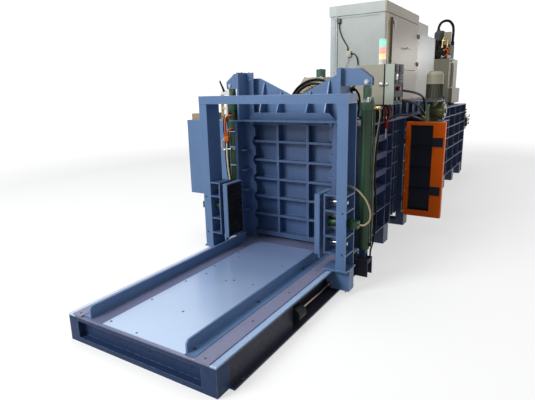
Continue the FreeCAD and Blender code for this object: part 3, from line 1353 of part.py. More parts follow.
def roof_valve():
    """The prefill valve behind the yoke: a sloping block on its pedestal, with its pilot."""
    roof = S.chamber_height + S.roof_thick
    low = S.valve_high - 195
    pedestal = block((S.valve_front + 60, S.valve_rear - 80), (-90, 150), (roof, low))
    body = prism("yz", [(S.valve_right, low), (S.valve_left, low), (S.valve_left - 133, S.valve_high),
                        (S.valve_right + 28, S.valve_high)], (S.valve_front, S.valve_rear))
    pilot = bar("z", 48, (S.valve_front + 90, -32), (S.valve_high, S.valve_high + 78))
    return union([pedestal, body, pilot])


node(roof_valve(), "roof_valve")

node(union([block((S.body_rear + S.rear_thick, S.body_rear + S.rear_thick + 190),
                  (-S.wall_reach + 5, -S.wall_reach + 95), (845, 1127)),
            block((S.body_rear + S.rear_thick + 40, S.body_rear + S.rear_thick + 150),
                  (-S.wall_reach - 30, -S.wall_reach + 5), (900, 1070))]), "rear_valve")


# ---------------------------------------------------------------- operator's box

BOX_SPAN = (S.box_front, S.box_front + S.box_length)
COVER_INNER = -S.box_seam - S.seal
COVER_HINGE = (S.box_front + S.box_length + 9, COVER_INNER + 4)


def cover_hinge_heights():
    """The undersides of the cover's two hinges."""
    return (S.box_low + 50, S.box_high - 110)


def control_box():
    """The open box, its seal, its bracket on the wall and the fixed hinge halves."""
    shell = minus(block(BOX_SPAN, (-S.box_seam, -S.box_inner), (S.box_low, S.box_high)),
                  [block((S.box_front + S.box_sheet, BOX_SPAN[1] - S.box_sheet),
                         (-S.box_seam - 5, -S.box_inner - S.box_sheet),
                         (S.box_low + S.box_sheet, S.box_high - S.box_sheet))])
    bracket = block((S.box_front + 60, BOX_SPAN[1] - 60), (-S.box_seam + 40, -S.curb_half),
                    (S.wall_top, S.box_low))
    parts = [shell, bracket]
    for low in cover_hinge_heights():
        parts.append(bar("z", 6, COVER_HINGE, (low, low + 25)))
        parts.append(bar("z", 3, COVER_HINGE, (low + 25, low + 52)))
        parts.append(block((BOX_SPAN[1], COVER_HINGE[0] + 6), (COVER_HINGE[1], -S.box_seam + 30),
                           (low, low + 25)))
    return union(parts)


seal = minus(block((S.box_front + 1, BOX_SPAN[1] - 1), (-S.box_seam - S.seal + 1, -S.box_seam),
                   (S.box_low + 1, S.box_high - 1)),
             [block((S.box_front + 12, BOX_SPAN[1] - 12), (-S.box_seam - S.seal - 5, -S.box_seam + 5),
                    (S.box_low + 12, S.box_high - 12))])
node(group([control_box(), seal]), "control_box")


def panel_spot(column, height):
    """Where a control stands on the cover's face."""
    return (S.box_front + column, height)


STOP_SPOT = panel_spot(130, 1666)
START_SPOT = panel_spot(65, 1571)
RESET_SPOT = panel_spot(205, 1571)
SWITCH_SPOT = panel_spot(130, 1571)
CONTROLS = (("start_button", START_SPOT, 14), ("reset_button", RESET_SPOT, 14),
            ("emergency_stop", STOP_SPOT, 20), ("mode_switch", SWITCH_SPOT, 14))


def control_cover():
    """The pan-shaped cover with its hinge knuckles and the bezels of its controls."""
    outer = -S.box_outer
    shell = minus(block(BOX_SPAN, (outer, COVER_INNER), (S.box_low, S.box_high)),
                  [block((S.box_front + S.box_sheet, BOX_SPAN[1] - S.box_sheet),
                         (outer + S.box_sheet, COVER_INNER + 5),
                         (S.box_low + S.box_sheet, S.box_high - S.box_sheet))])
    parts = [shell]
    tools = []
    for word, spot, radius in CONTROLS:
        parts.append(bar("y", radius + 4, spot, (outer - 5, outer)))
        tools.append(bar("y", 8 + S.running_gap, spot, (outer - 10, outer + 10)))
    for low in cover_hinge_heights():
        parts.append(minus(union([bar("z", 6, COVER_HINGE, (low + 25.3, low + 50)),
                                  block((BOX_SPAN[1] - 1, COVER_HINGE[0]),
                                        (COVER_INNER - 30, COVER_HINGE[1] - 5),
                                        (low + 25.3, low + 50))]),
                           [bar("z", 3 + S.running_gap, COVER_HINGE, (low + 20, low + 56))]))
    return minus(union(parts), tools)


node(control_cover(), "control_cover")


def push_button(spot, radius, height):
    """A button with its stem through the cover; it stands clear of its bezel by its travel."""
    bezel = -S.box_outer - 5
    low = bezel - S.button_travel - 1
    return union([bar("y", 8, spot, (low, -S.box_outer + 14)),
                  bar("y", 11, spot, (-S.box_outer + 9, -S.box_outer + 14)),
                  bar("y", radius, spot, (low - height, low))])


node(push_button(START_SPOT, S.button_radius, 6), "start_button")
node(push_button(RESET_SPOT, S.button_radius, 6), "reset_button")
node(push_button(STOP_SPOT, S.button_radius + 6, 16), "emergency_stop")


def mode_switch():
    """A round knob with a grip bar; its spindle turns in the cover."""
    bezel = -S.box_outer - 5
    return union([bar("y", 8, SWITCH_SPOT, (bezel - 0.3, -S.box_outer + 14)),
                  bar("y", S.button_radius, SWITCH_SPOT, (bezel - 8, bezel - 0.3)),
                  block((SWITCH_SPOT[0] - 4, SWITCH_SPOT[0] + 4), (bezel - 20, bezel - 7),
                        (SWITCH_SPOT[1] - 13, SWITCH_SPOT[1] + 13))])


node(mode_switch(), "mode_switch")

TOWER = (S.box_front + 42, -S.box_seam + 34)
tower = [bar("z", S.tower_radius, TOWER, (S.box_high, S.box_high + S.lens_height - 0.5))]
for step in range(1, 4):
    tower.append(bar("z", S.tower_radius, TOWER, (S.box_high + S.lens_height * step,
                                                  S.box_high + S.lens_height * (step + 1) - 0.5)))
node(group(tower), "signal_tower")


# ---------------------------------------------------------------- hoses and cables

def tube(name, points, radius):
    """A hose along straight runs joined by tangent arcs, as large as the runs allow."""
    here = [Vector(*point) - Vector(ORIGIN_ALONG.value, ORIGIN_ACROSS.value, 0) for point in points]
    edges = []
    start = here[0]
    bends = []
    for before, corner, after in zip(here, here[1:], here[2:]):
        back = before - corner
        ahead = after - corner
        shorter = min(back.Length, ahead.Length)
        half_turn = (math.pi - back.getAngle(ahead)) / 2
        bend = 0.45 * shorter / math.tan(half_turn)
        bends.append(bend)
        back.normalize()
        ahead.normalize()
        enter = corner + back * (0.45 * shorter)
        leave = corner + ahead * (0.45 * shorter)
        middle = (back + ahead).normalize()
        centre = corner + middle * (bend / math.cos(half_turn))
        top = centre - middle * bend
        edges.append(Part.LineSegment(start, enter).toShape())
        edges.append(Part.Arc(enter, top, leave).toShape())
        start = leave
    edges.append(Part.LineSegment(start, here[-1]).toShape())
    path = Part.Wire(edges)
    ring = Part.Circle(here[0], here[1] - here[0], radius)
    thing = doc.addObject("Part::Feature", name)
    thing.Shape = path.makePipeShell([Part.Wire([ring.toShape()])], True, True)
    thing.Placement = FreeCAD.Placement(Vector(), Rotation())
    expected = math.pi * radius ** 2 * path.Length
    print("%-18s radii %4.0f to %4.0f, volume %.4f of its section times length"
          % (name, min(bends), max(bends), thing.Shape.Volume / expected))
    return thing


HOSES = (
    # from the filter's dome up and over to the tank's valve block
    ("tank_arch", 23, [(7450, -150, 2662), (7450, -150, 2735), (7463, -182, 2806), (7492, -250, 2842),
                       (7524, -326, 2830), (7552, -382, 2752), (7562, -392, 2640),
                       (7558, -388, 2520), (7558, -388, 2402)]),
    # two arcs in front of the prefill valve, down to the roof on both sides
    ("valve_arc_high", 12, [(2530, 288, 1315), (2530, 288, 1440), (2533, 262, 1590),
                            (2540, 178, 1705), (2543, 50, 1770), (2543, -90, 1776),
                            (2539, -206, 1705), (2533, -268, 1585), (2530, -276, 1440),
                            (2530, -276, 1315)]),
    ("valve_arc_low", 12, [(2496, 236, 1315), (2496, 236, 1430), (2499, 212, 1570),
                           (2505, 138, 1676), (2508, 20, 1734), (2508, -100, 1730),
                           (2504, -192, 1662), (2498, -238, 1548), (2496, -244, 1425),
                           (2496, -244, 1315)]),
)
LIFT_HOSE = [(2080, -850, 1501), (2080, -850, 1420), (2086, -836, 1270), (2085, -819, 1080),
             (2085, -820, 880), (2087, -836, 680), (2087, -842, 480), (2087, -822, 320),
             (2086, -799, 240), (2086, -799, 173)]
CARRIAGE_HOSE = [(1640, -846, 607), (1640, -896, 607), (1643, -938, 652), (1646, -940, 730),
                 (1646, -905, 815), (1644, -835, 890), (1640, -765, 922), (1640, -702, 922)]
CABLES = (
    # from the operator's box along the wall to the roof's edge
    ("box_cable_high", 12, [(3010, -600, 1660), (3070, -600, 1660), (3160, -604, 1632),
                            (3250, -607, 1568), (3320, -605, 1480), (3354, -600, 1405),
                            (3354, -600, 1345)]),
    ("box_cable_low", 12, [(3010, -560, 1570), (3060, -560, 1570), (3130, -562, 1545),
                           (3190, -564, 1482), (3219, -562, 1410), (3219, -562, 1345)]),
    # from the fill sensor to its junction on the hopper, and on behind the yoke
    ("sensor_cable", 5, [(3704, 222, 2448), (3704, 222, 2390), (3702, 194, 2300),
                         (3703, 142, 2215), (3704, 108, 2172), (3704, 108, 2120)]),
    ("junction_cable", 6, [(3704, 65, 2085), (3704, 30, 2085), (3703, -4, 2058), (3701, -24, 1996),
                           (3697, -29, 1880), (3692, -27, 1750), (3688, -25, 1625),
                           (3688, -27, 1560), (3688, -27, 1505)]),
)
lift_hose = tube("lift_hose", LIFT_HOSE, 8)
node(group([tube(name, points, radius) for name, radius, points in HOSES]
           + [lift_hose, mirror(lift_hose, S.lift_centre)]), "hydraulic_hoses")
node(tube("carriage_hose", CARRIAGE_HOSE, 7.5), "carriage_hose")
node(group([tube(name, points, radius) for name, radius, points in CABLES]), "control_cables")

PANEL_FACE = S.hopper_front
node(group([block((PANEL_FACE - 30, PANEL_FACE), (205, 251), (2448, 2499)),
            block((PANEL_FACE - 30, PANEL_FACE), (65, 115), (2050, 2120))]), "fill_sensor")


# ---------------------------------------------------------------- check and write

doc.recompute()
faults = [thing.Label for thing in doc.Objects if {"Invalid", "Error"} & set(thing.State)]
faults += [thing.Label for thing in NODES if thing.Shape.isNull() or not thing.Shape.isValid()]
if faults:
    raise RuntimeError("failed: " + ", ".join(faults))
os.makedirs("parts", exist_ok=True)
for thing in NODES:
    thing.Shape.exportStep("parts/%s.step" % thing.Label)
    print("%-22s %8.0f cm3 %3d solids" % (thing.Label, thing.Shape.Volume / 1000, len(thing.Shape.Solids)))
print("%d nodes" % len(NODES))
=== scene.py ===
"""Looks of the baling press: materials, lights, camera and the small parts the frame doesn't hold.

Everything is in metres in the row frame. M(x, y, z) turns machine millimetres, counted from the
table's front edge, its centre line and the floor, into that frame.
"""
import math
import random

import bmesh
import bpy
from mathutils import Matrix, Vector


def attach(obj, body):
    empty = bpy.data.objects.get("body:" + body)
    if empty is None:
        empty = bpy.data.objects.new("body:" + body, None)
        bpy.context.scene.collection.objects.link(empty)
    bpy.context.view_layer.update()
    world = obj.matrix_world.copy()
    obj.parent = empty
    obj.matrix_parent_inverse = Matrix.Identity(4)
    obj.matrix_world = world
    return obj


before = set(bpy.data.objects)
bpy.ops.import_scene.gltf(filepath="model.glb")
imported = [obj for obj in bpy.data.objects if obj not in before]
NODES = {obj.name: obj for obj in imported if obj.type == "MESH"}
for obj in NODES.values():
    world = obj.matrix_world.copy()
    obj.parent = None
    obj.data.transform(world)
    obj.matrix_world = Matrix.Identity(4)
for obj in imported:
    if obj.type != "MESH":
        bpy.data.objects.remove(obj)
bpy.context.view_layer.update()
RNG = random.Random(7)
ORIGIN = {"X": 4075.0, "Y": 153.5, "Z": 0.0}


def row(letter, value):
    """One machine coordinate in millimetres, in the row frame."""
    return (value - ORIGIN[letter]) / 1000


def M(x, y, z):
    """A point given in machine millimetres, in the row frame."""
    return Vector((row("X", x), row("Y", y), row("Z", z)))


def srgb(r, g, b):
    """A colour written as it shows, as the linear colour a shader takes."""
    return tuple(c / 3294.6 if c <= 10 else ((c / 255 + 0.055) / 1.055) ** 2.4 for c in (r, g, b))


# ---------------------------------------------------------------- shader helpers

class Look:
    """A material under construction: its principled shader and short names for common nodes."""

    def __init__(self, name, colour, rough=0.5, metal=0.0, coat=0.0, coat_rough=0.1, spec=0.5):
        self.mat = bpy.data.materials.new(name)
        self.mat.use_nodes = True
        self.tree = self.mat.node_tree
        self.shader = self.tree.nodes["Principled BSDF"]
        self.set("Base Color", (*colour, 1))
        self.set("Roughness", rough)
        self.set("Metallic", metal)
        self.set("Coat Weight", coat)
        self.set("Coat Roughness", coat_rough)
        self.set("Specular IOR Level", spec)
        self.coords = self.add("ShaderNodeTexCoord").outputs["Object"]

    def add(self, kind, **values):
        node = self.tree.nodes.new(kind)
        for name, value in values.items():
            if name in node.inputs:
                if isinstance(value, bpy.types.NodeSocket):
                    self.tree.links.new(value, node.inputs[name])
                else:
                    node.inputs[name].default_value = value
            else:
                setattr(node, name, value)
        return node

    def link(self, out, node, name):
        self.tree.links.new(out, node.inputs[name])

    def set(self, name, value):
        self.shader.inputs[name].default_value = value

    def drive(self, name, out):
        self.tree.links.new(out, self.shader.inputs[name])

    def noise(self, scale, detail=3.0, rough=0.5, stretch=None, warp=0.0):
        coords = self.coords
        if stretch:
            mapping = self.add("ShaderNodeMapping")
            mapping.inputs["Scale"].default_value = stretch
            self.link(coords, mapping, "Vector")
            coords = mapping.outputs["Vector"]
        node = self.add("ShaderNodeTexNoise")
        self.link(coords, node, "Vector")
        node.inputs["Scale"].default_value = scale
        node.inputs["Detail"].default_value = detail
        node.inputs["Roughness"].default_value = rough
        node.inputs["Distortion"].default_value = warp
        return node.outputs["Fac"]

    def ramp(self, fac, *stops):
        """stops are (position, colour or number)."""
        node = self.add("ShaderNodeValToRGB")
        self.link(fac, node, "Fac")
        band = node.color_ramp
        while len(band.elements) < len(stops):
            band.elements.new(0.5)
        for element, (place, colour) in zip(band.elements, stops):
            element.position = place
            if not hasattr(colour, "__len__"):
                colour = (colour, colour, colour)
            element.color = (*colour[:3], 1)
        return node.outputs["Color"]

    def mix(self, fac, a, b, blend="MIX"):
        node = self.add("ShaderNodeMix", data_type="RGBA", blend_type=blend)
        for value, index in ((fac, 0), (a, 6), (b, 7)):
            if isinstance(value, bpy.types.NodeSocket):
                self.tree.links.new(value, node.inputs[index])
            elif index == 0:
                node.inputs[0].default_value = value
            else:
                node.inputs[index].default_value = (*value[:3], 1)
        return node.outputs[2]

    def math(self, operation, a, b=0.0, clamp=False):
        node = self.add("ShaderNodeMath", operation=operation, use_clamp=clamp)
        for value, index in ((a, 0), (b, 1)):
            if isinstance(value, bpy.types.NodeSocket):
                self.tree.links.new(value, node.inputs[index])
            else:
                node.inputs[index].default_value = value
        return node.outputs[0]

    def span(self, fac, low, high, to_low=0.0, to_high=1.0):
        node = self.add("ShaderNodeMapRange")
        self.link(fac, node, "Value")
        for name, value in (("From Min", low), ("From Max", high), ("To Min", to_low), ("To Max", to_high)):
            node.inputs[name].default_value = value
        return node.outputs["Result"]

    def axis(self, letter):
        node = self.add("ShaderNodeSeparateXYZ")
        self.link(self.coords, node, "Vector")
        return node.outputs[letter]

    def along(self, letter, start, end, to_low=0.0, to_high=1.0):
        """Runs from to_low to to_high between two places on an axis, in machine millimetres."""
        return self.span(self.axis(letter), row(letter, start), row(letter, end), to_low, to_high)

    def bump(self, height, strength=0.2, distance=0.001):
        node = self.add("ShaderNodeBump")
        node.inputs["Strength"].default_value = strength
        node.inputs["Distance"].default_value = distance
        self.link(height, node, "Height")
        self.drive("Normal", node.outputs["Normal"])


def shade(colour, k):
    return tuple(min(1.0, c * k) for c in colour)


def zone_mask(look, where):
    """1 where every condition in a text such as "X>118 Z<187", in machine millimetres, holds, else 0."""
    mask = None
    for word in where.split():
        letter, compare, limit = word[0], word[1], float(word[2:])
        operation = "GREATER_THAN" if compare == ">" else "LESS_THAN"
        here = look.math(operation, look.axis(letter), row(letter, limit))
        mask = here if mask is None else look.math("MULTIPLY", mask, here)
    return mask


def edge_mask(look, radius=0.004):
    """1 along sharp edges, where the rounded normal leaves the true one."""
    bevel = look.add("ShaderNodeBevel", samples=4)
    bevel.inputs["Radius"].default_value = radius
    geometry = look.add("ShaderNodeNewGeometry")
    dot = look.add("ShaderNodeVectorMath", operation="DOT_PRODUCT")
    look.link(bevel.outputs["Normal"], dot, 0)
    look.link(geometry.outputs["Normal"], dot, 1)
    return look.span(dot.outputs["Value"], 0.99, 0.86, 0.0, 1.0)


def enamel(name, rgb, rough=0.4, coat=0.12, dirt=0.35, dust=0.25, streaks=0.2, zones=(), edge=None,
           spec=0.5, peel=0.12, grain=1.0, fades=()):
    """Brushed or sprayed enamel on welded plate: patchy colour, orange peel, dust, scuffs, and edges painted
    paler as wear and as painted highlight.

    Colours are written as they show. zones are (conditions, colour): the paint changes where all the
    conditions hold. fades are (axis, start, end, colour): the paint turns to the colour from start to end.
    """
    base = srgb(*rgb)
    look = Look(name, base, rough, coat=coat, coat_rough=0.25, spec=spec)
    for letter, start, end, other in fades:
        base = look.mix(look.along(letter, start, end), base, srgb(*other))
    for where, other in zones:
        base = look.mix(zone_mask(look, where), base, srgb(*other))
    patches = look.noise(1.3, 4, 0.6)
    level = look.span(patches, 0.3, 0.7, 0.9, 1.1)
    fine = look.noise(34, 5, 0.7)
    dirty = look.ramp(fine, (0.52, 0.0), (0.78, dirt))
    level = look.math("MULTIPLY", level, look.span(dirty, 0, 1, 1.0, 0.6))
    runs = look.ramp(look.noise(9, 3, 0.6, stretch=(6, 6, 0.5)), (0.55, 0.0), (0.8, streaks))
    level = look.math("MULTIPLY", level, look.span(runs, 0, 1, 1.0, 0.7))
    base = look.mix(1.0, base, level, "MULTIPLY")
    specks = look.ramp(look.noise(160, 2, 0.5), (0.66, 0.0), (0.76, dust))
    base = look.mix(specks, base, DUST)
    # Paler edges: partly worn paint, partly a painted highlight along the sharp edges.
    if edge:
        edge_wear_and_highlight = look.ramp(look.noise(21, 4, 0.7), (0.36, 0.0), (0.6, 0.85))
        base = look.mix(look.math("MULTIPLY", edge_mask(look), edge_wear_and_highlight), base, srgb(*edge))
    look.drive("Base Color", base)
    look.drive("Roughness", look.span(fine, 0.2, 0.8, rough - 0.1 * grain, rough + 0.16 * grain))
    if peel:
        look.bump(look.noise(420, 2, 0.5), peel, 0.0006)
    return look


LOOKS = {}
DUST = (0.3, 0.31, 0.3)
CHROME = (0.5, 0.51, 0.53)
# PALE_EDGE paints edges paler: worn paint and painted edge highlight.
PALE_EDGE = (148, 166, 192)
RUSTY_EDGE = (140, 124, 104)
LENS_FEET = (1938, 1998, 2056)


def keep(name, look):
    LOOKS[name] = look.mat


def paint(name, material, rgb, **finish):
    keep(name, enamel(material, rgb, **finish))


paint("blue", "blue_enamel", (80, 108, 148), edge=PALE_EDGE)
paint("blue_portal", "blue_enamel_portal", (86, 118, 160), rough=0.36, dirt=0.2, edge=PALE_EDGE)
# The portal's blue painted darker for the door, columns, racks and keepers: painted shade.
paint("blue_door_shaded", "blue_enamel_door", (60, 86, 126), rough=0.44, edge=PALE_EDGE)
# A darker blue for the table; its right side face and floor flange past Y -565 are painted darker still, as
# painted shade.
paint("blue_table", "blue_enamel_table", (33, 53, 88), rough=0.5, coat=0.0, spec=0.25, dirt=0.5, dust=0.06,
      edge=PALE_EDGE, zones=[("Y<-565 X>118 Z<187", (40, 39, 54))])
# The same blue painted darker for the press body, as painted shade on its recessed walls.
paint("blue_body_shaded", "blue_enamel_body", (52, 68, 104), dirt=0.4, dust=0.15, edge=RUSTY_EDGE)
paint("dark_blue", "navy_enamel", (15, 19, 34), rough=0.5, coat=0.0, spec=0.2, dirt=0.3, dust=0.01)
paint("green", "green_enamel", (30, 62, 36), rough=0.34, coat=0.06, spec=0.35, dirt=0.25, dust=0.0,
      zones=[("Z>1495", (46, 76, 52))])
paint("green_dark", "green_enamel_dark", (34, 56, 38), rough=0.36, coat=0.1, spec=0.4, dirt=0.3, dust=0.03)
paint("orange", "orange_enamel", (246, 104, 0), coat=0.0, spec=0.2, dirt=0.25, dust=0.0, edge=(240, 140, 40))
paint("beige", "beige_enamel", (178, 176, 156), rough=0.42, dirt=0.12, dust=0.03)
# The tank's -Y face is painted browner and darker, as painted shade; below Z 1392 it turns darker still.
paint("tank", "tank_enamel", (158, 152, 134), rough=0.42, dirt=0.2, dust=0.06,
      zones=[("Y<-466", (128, 120, 96)), ("Z<1392", (86, 78, 66))])
paint("motor", "motor_enamel", (70, 72, 54), rough=0.42, dirt=0.3, dust=0.06,
      zones=[("Z>1706", (160, 155, 132))])
paint("drum", "drum_enamel", (106, 108, 66), rough=0.3, coat=0.25, spec=0.4, dirt=0.4, dust=0.02,
      zones=[("X<4300", (40, 66, 46))])
paint("manifold", "manifold_enamel", (16, 15, 15), rough=0.45, coat=0.0, spec=0.12, dirt=0.4, dust=0.02,
      zones=[("Z>2490", (72, 74, 74)), ("Y<-290 X<7385 Z>2403", (150, 142, 122))])
# Past Y -338 the pale sheet is painted brown, as painted shade and warm reflection on its -Y side.
paint("hopper", "hopper_sheet", (176, 183, 178), rough=0.34, dirt=0.05, dust=0.0, peel=0.03,
      edge=(216, 222, 220), zones=[("Y<-338", (154, 138, 106)), ("Y>262", (186, 194, 192))])
# hopper_side is a pale sheet painted brown, as painted shade and warm reflection on the -Y panel and door.
paint("hopper_side", "hopper_side", (136, 118, 86), rough=0.3, coat=0.08, spec=0.35, dirt=0.04, dust=0.0,
      streaks=0.05, peel=0, grain=0.1, edge=(196, 196, 184))
# The rear cabinet's bright bluish grey, with brown at the top, towards the bottom and at the front of the -Y
# face, is a painted reflection.
paint("cabinet", "rear_cabinet", (180, 186, 186), rough=0.24, coat=0.1, spec=0.4, dirt=0.02, dust=0.0,
      streaks=0.03, peel=0, grain=0.1, fades=[("Z", 2150, 1620, (162, 152, 130))],
      zones=[("X<5346 Y<-300", (150, 138, 116)), ("Z<1760", (170, 160, 138)), ("Z>2441", (150, 132, 102))])
paint("roof_valve", "roof_valve_enamel", (196, 186, 160), dirt=0.3, dust=0.05,
      zones=[("Z>1794", (48, 88, 62)), ("Z<1372", (60, 62, 60))])
paint("box", "operator_box", (172, 168, 150), rough=0.42, coat=0.0, spec=0.25, dirt=0.12, dust=0.0,
      zones=[("Y<-669.5", (18, 18, 20)), ("Z<1517", (15, 17, 26))])
paint("cover", "operator_cover", (188, 195, 182), rough=0.42, coat=0.0, spec=0.15, dirt=0.1, dust=0.0,
      zones=[("Y<-771 X>2712 X<2998 Z>1526 Z<1708", (10, 10, 12)), ("Y<-771 Z>1707", (20, 20, 24))])
paint("sensor", "sensor_housing", (214, 208, 186), rough=0.35, dirt=0.1, dust=0.03,
      zones=[("Z>2300", (22, 23, 26))])
paint("cabinet_left", "blue_enamel_cabinet", (86, 118, 160), rough=0.38, dirt=0.2, edge=PALE_EDGE,
      zones=[("Z>1376", (158, 138, 104))])


def lamp_lenses():
    """The signal tower: a white foot and three lit lenses."""
    base = srgb(228, 228, 222)
    look = Look("signal_lenses", base, 0.18, coat=0.5)
    glow = (0.0, 0.0, 0.0)
    for low, rgb in zip(LENS_FEET, ((255, 176, 30), (255, 92, 40), (30, 206, 168))):
        lit = zone_mask(look, "Z>%d" % low)
        base = look.mix(lit, base, srgb(*rgb))
        glow = look.mix(lit, glow, srgb(*rgb))
    ridges = look.noise(10, 0, 0.5, stretch=(0.1, 0.1, 40))
    look.drive("Base Color", look.mix(look.ramp(ridges, (0.45, 0.0), (0.6, 0.25)), base, (1, 1, 1)))
    look.drive("Emission Color", look.mix(look.ramp(ridges, (0.4, 0.2), (0.6, 0.5)), glow, (1, 1, 1)))
    lit = zone_mask(look, "Z>%d" % LENS_FEET[0])
    look.drive("Emission Strength", look.span(lit, 0, 1, 0.0, 0.8))
    return look


def lift_rod_paint():
    """Hard chrome with the painted eye block on top."""
    look = Look("lift_rod", CHROME, 0.14)
    eye = zone_mask(look, "Z>1604")
    haze = look.noise(60, 4, 0.6)
    metal = look.mix(look.ramp(haze, (0.4, 0.0), (0.8, 0.2)), CHROME, (0.2, 0.2, 0.2))
    look.drive("Base Color", look.mix(eye, metal, look.mix(haze, srgb(40, 74, 50), srgb(58, 92, 66))))
    look.drive("Metallic", look.math("SUBTRACT", 1.0, eye))
    look.drive("Roughness", look.span(eye, 0, 1, 0.14, 0.36))
    return look


def worn_plate():
    """The bale's sliding plate: thin blue over bright steel, polished lengthwise, with painted sheen along
    its length.
    """
    look = Look("wear_plate", srgb(150, 171, 200), 0.3, metal=0.3, coat=0.4)
    patches = look.noise(1.1, 4, 0.6)
    base = look.mix(look.span(patches, 0.3, 0.7), srgb(146, 170, 206), srgb(168, 190, 222))
    # Painted reflection: deeper blue towards the back.
    base = look.mix(look.along("X", 300, 1700), base, srgb(136, 158, 200))
    drag = look.noise(30, 4, 0.7, stretch=(0.12, 4, 1))
    base = look.mix(look.ramp(drag, (0.5, 0.0), (0.75, 0.1)), base, srgb(184, 198, 218))
    scratch = look.noise(90, 2, 0.5, stretch=(0.05, 5, 1))
    base = look.mix(look.ramp(scratch, (0.72, 0.0), (0.78, 0.15)), base, srgb(130, 150, 182))
    spots = look.noise(14, 5, 0.75)
    base = look.mix(look.ramp(spots, (0.62, 0.0), (0.78, 0.5)), base, srgb(112, 118, 128))
    # Painted sheen: paler towards the front edge.
    base = look.mix(look.along("X", 1250, 100, 0.0, 0.7), base, srgb(198, 216, 240))
    look.drive("Base Color", base)
    look.drive("Roughness", look.span(patches, 0.25, 0.75, 0.26, 0.34))
    return look


def bright(name, colour, rough, marks=0.3):
    look = Look(name, colour, rough, metal=1.0)
    haze = look.noise(60, 4, 0.6)
    look.drive("Base Color", look.mix(look.ramp(haze, (0.4, 0.0), (0.8, marks)), colour, shade(colour, 0.55)))
    look.drive("Roughness", look.span(haze, 0.2, 0.8, rough * 0.6, rough * 1.6))
    return look


def soft(name, rgb, rough=0.7, grain=900.0, bump=0.2, dusty=0.05):
    colour = srgb(*rgb)
    look = Look(name, colour, rough, spec=0.1)
    grains = look.noise(grain, 3, 0.6)
    spots = look.noise(7, 4, 0.7)
    look.drive("Base Color", look.mix(look.ramp(spots, (0.45, 0.0), (0.8, 0.5)), colour,
                                      tuple(c * 0.6 + dusty for c in colour)))
    look.drive("Roughness", look.span(grains, 0.3, 0.7, rough - 0.08, rough + 0.1))
    look.bump(grains, bump, 0.0005)
    return look


keep("signal", lamp_lenses())
keep("lift_rod", lift_rod_paint())
keep("plate", worn_plate())
paint("strip", "worn_strip", (120, 122, 148), rough=0.36, dirt=0.5, dust=0.1, streaks=0.1)
# The deck's outer ledges past Y -605 and Y 585 are painted pale, as painted highlight.
paint("blue_deck", "blue_enamel_deck", (98, 102, 132), rough=0.36, dirt=0.5, dust=0.1,
      zones=[("Y<-605", (150, 176, 210)), ("Y>585", (196, 210, 230))])
paint("weld", "weld_bead", (92, 120, 156), rough=0.3, coat=0.2, dirt=0.4, dust=0.1)
# weld_deep is the weld colour painted darker to sit on the shaded body: painted shade.
paint("weld_deep", "weld_bead_body", (70, 82, 108), rough=0.32, coat=0.15, dirt=0.5, dust=0.2)
keep("chrome", bright("hard_chrome", CHROME, 0.12, 0.2))
keep("zinc", bright("zinc", (0.5, 0.5, 0.5), 0.32))
keep("brass", bright("brass", (0.72, 0.5, 0.2), 0.26))
keep("bronze_rod", bright("oiled_rod", (0.3, 0.23, 0.16), 0.2, 0.4))
keep("dark_steel", bright("dark_steel", (0.1, 0.09, 0.085), 0.4, 0.5))
keep("bare", bright("bare_steel", (0.42, 0.41, 0.4), 0.34, 0.5))
keep("rubber", soft("grooved_rubber", (22, 23, 27), 0.72))
keep("hose", soft("hose_rubber", (12, 12, 14), 0.36, dusty=0.012))
keep("hose_beige", soft("hose_beige", (176, 158, 128), 0.5))
keep("black", soft("black_plastic", (24, 25, 28), 0.45))
keep("red", soft("red_plastic", (206, 30, 34), 0.25, bump=0.05))
keep("white", soft("white_plastic", (228, 228, 224), 0.3, bump=0.05))
keep("yellow", soft("yellow_plastic", (226, 168, 34), 0.28, bump=0.05))
keep("copper", soft("orange_hose", (196, 96, 34), 0.36, bump=0.1))
keep("cream", soft("cream_hose", (206, 200, 178), 0.45, bump=0.1))
keep("dark_red", soft("red_tag", (150, 26, 30), 0.5, bump=0.1))
keep("key", soft("keypad_keys", (150, 146, 176), 0.4, bump=0.05))
keep("glass", Look("display_glass", srgb(14, 22, 30), 0.06, coat=1.0))

NODES_BY_LOOK = {
    "blue_table": "table_frame puller_cover",
    "blue_deck": "deck_plate",
    "plate": "wear_plate",
    "blue_portal": "guide_rails portal_frame door_yoke",
    "strip": "deck_strips",
    "dark_steel": "deck_bolts",
    "black": "puller_cylinder mode_switch",
    "blue_door_shaded": "door_column_right door_column_left clamp_racks door_panel",
    "green": "lift_cylinder_right lift_cylinder_left clamp_cylinders",
    "blue_body_shaded": ("chamber_wall_left chamber_wall_right chamber_roof body_base hopper_curb "
                  "motor_console press_ram"),
    "green_dark": "main_cylinder rear_valve",
    "hopper": "hopper",
    "hopper_side": "hopper_panel hopper_door",
    "motor": "motor",
    "drum": "pump_unit",
    "tank": "oil_tank",
    "manifold": "tank_manifold",
    "cabinet": "rear_cabinet",
    "cabinet_left": "valve_cabinet",
    "roof_valve": "roof_valve",
    "box": "control_box",
    "cover": "control_cover",
    "hose": "hydraulic_hoses control_cables",
    "sensor": "fill_sensor",
    "bronze_rod": "puller_rod",
    "hose_beige": "carriage_hose",
    "blue": "clamp_pad_left clamp_pad_right",
    "rubber": "clamp_rubber_left clamp_rubber_right",
    "chrome": "clamp_rods_left clamp_rods_right main_rod hopper_latch",
    "lift_rod": "lift_rod_right lift_rod_left",
    "orange": "gate_skin",
    "dark_blue": "gate_core",
    "red": "emergency_stop",
    "white": "start_button",
    "yellow": "reset_button",
    "signal": "signal_tower",
}

for look, words in NODES_BY_LOOK.items():
    for word in words.split():
        slots = NODES[word].data.materials
        slots.clear()
        slots.append(LOOKS[look])


# ---------------------------------------------------------------- small parts

# Faces' directions, and each lift cylinder's centre with the side it is on.
UP, FRONT, NEAR, ALONG = (0, 0, 1), (-1, 0, 0), (0, -1, 0), (1, 0, 0)
LIFT_AXES = ((-745, -1), (655, 1))


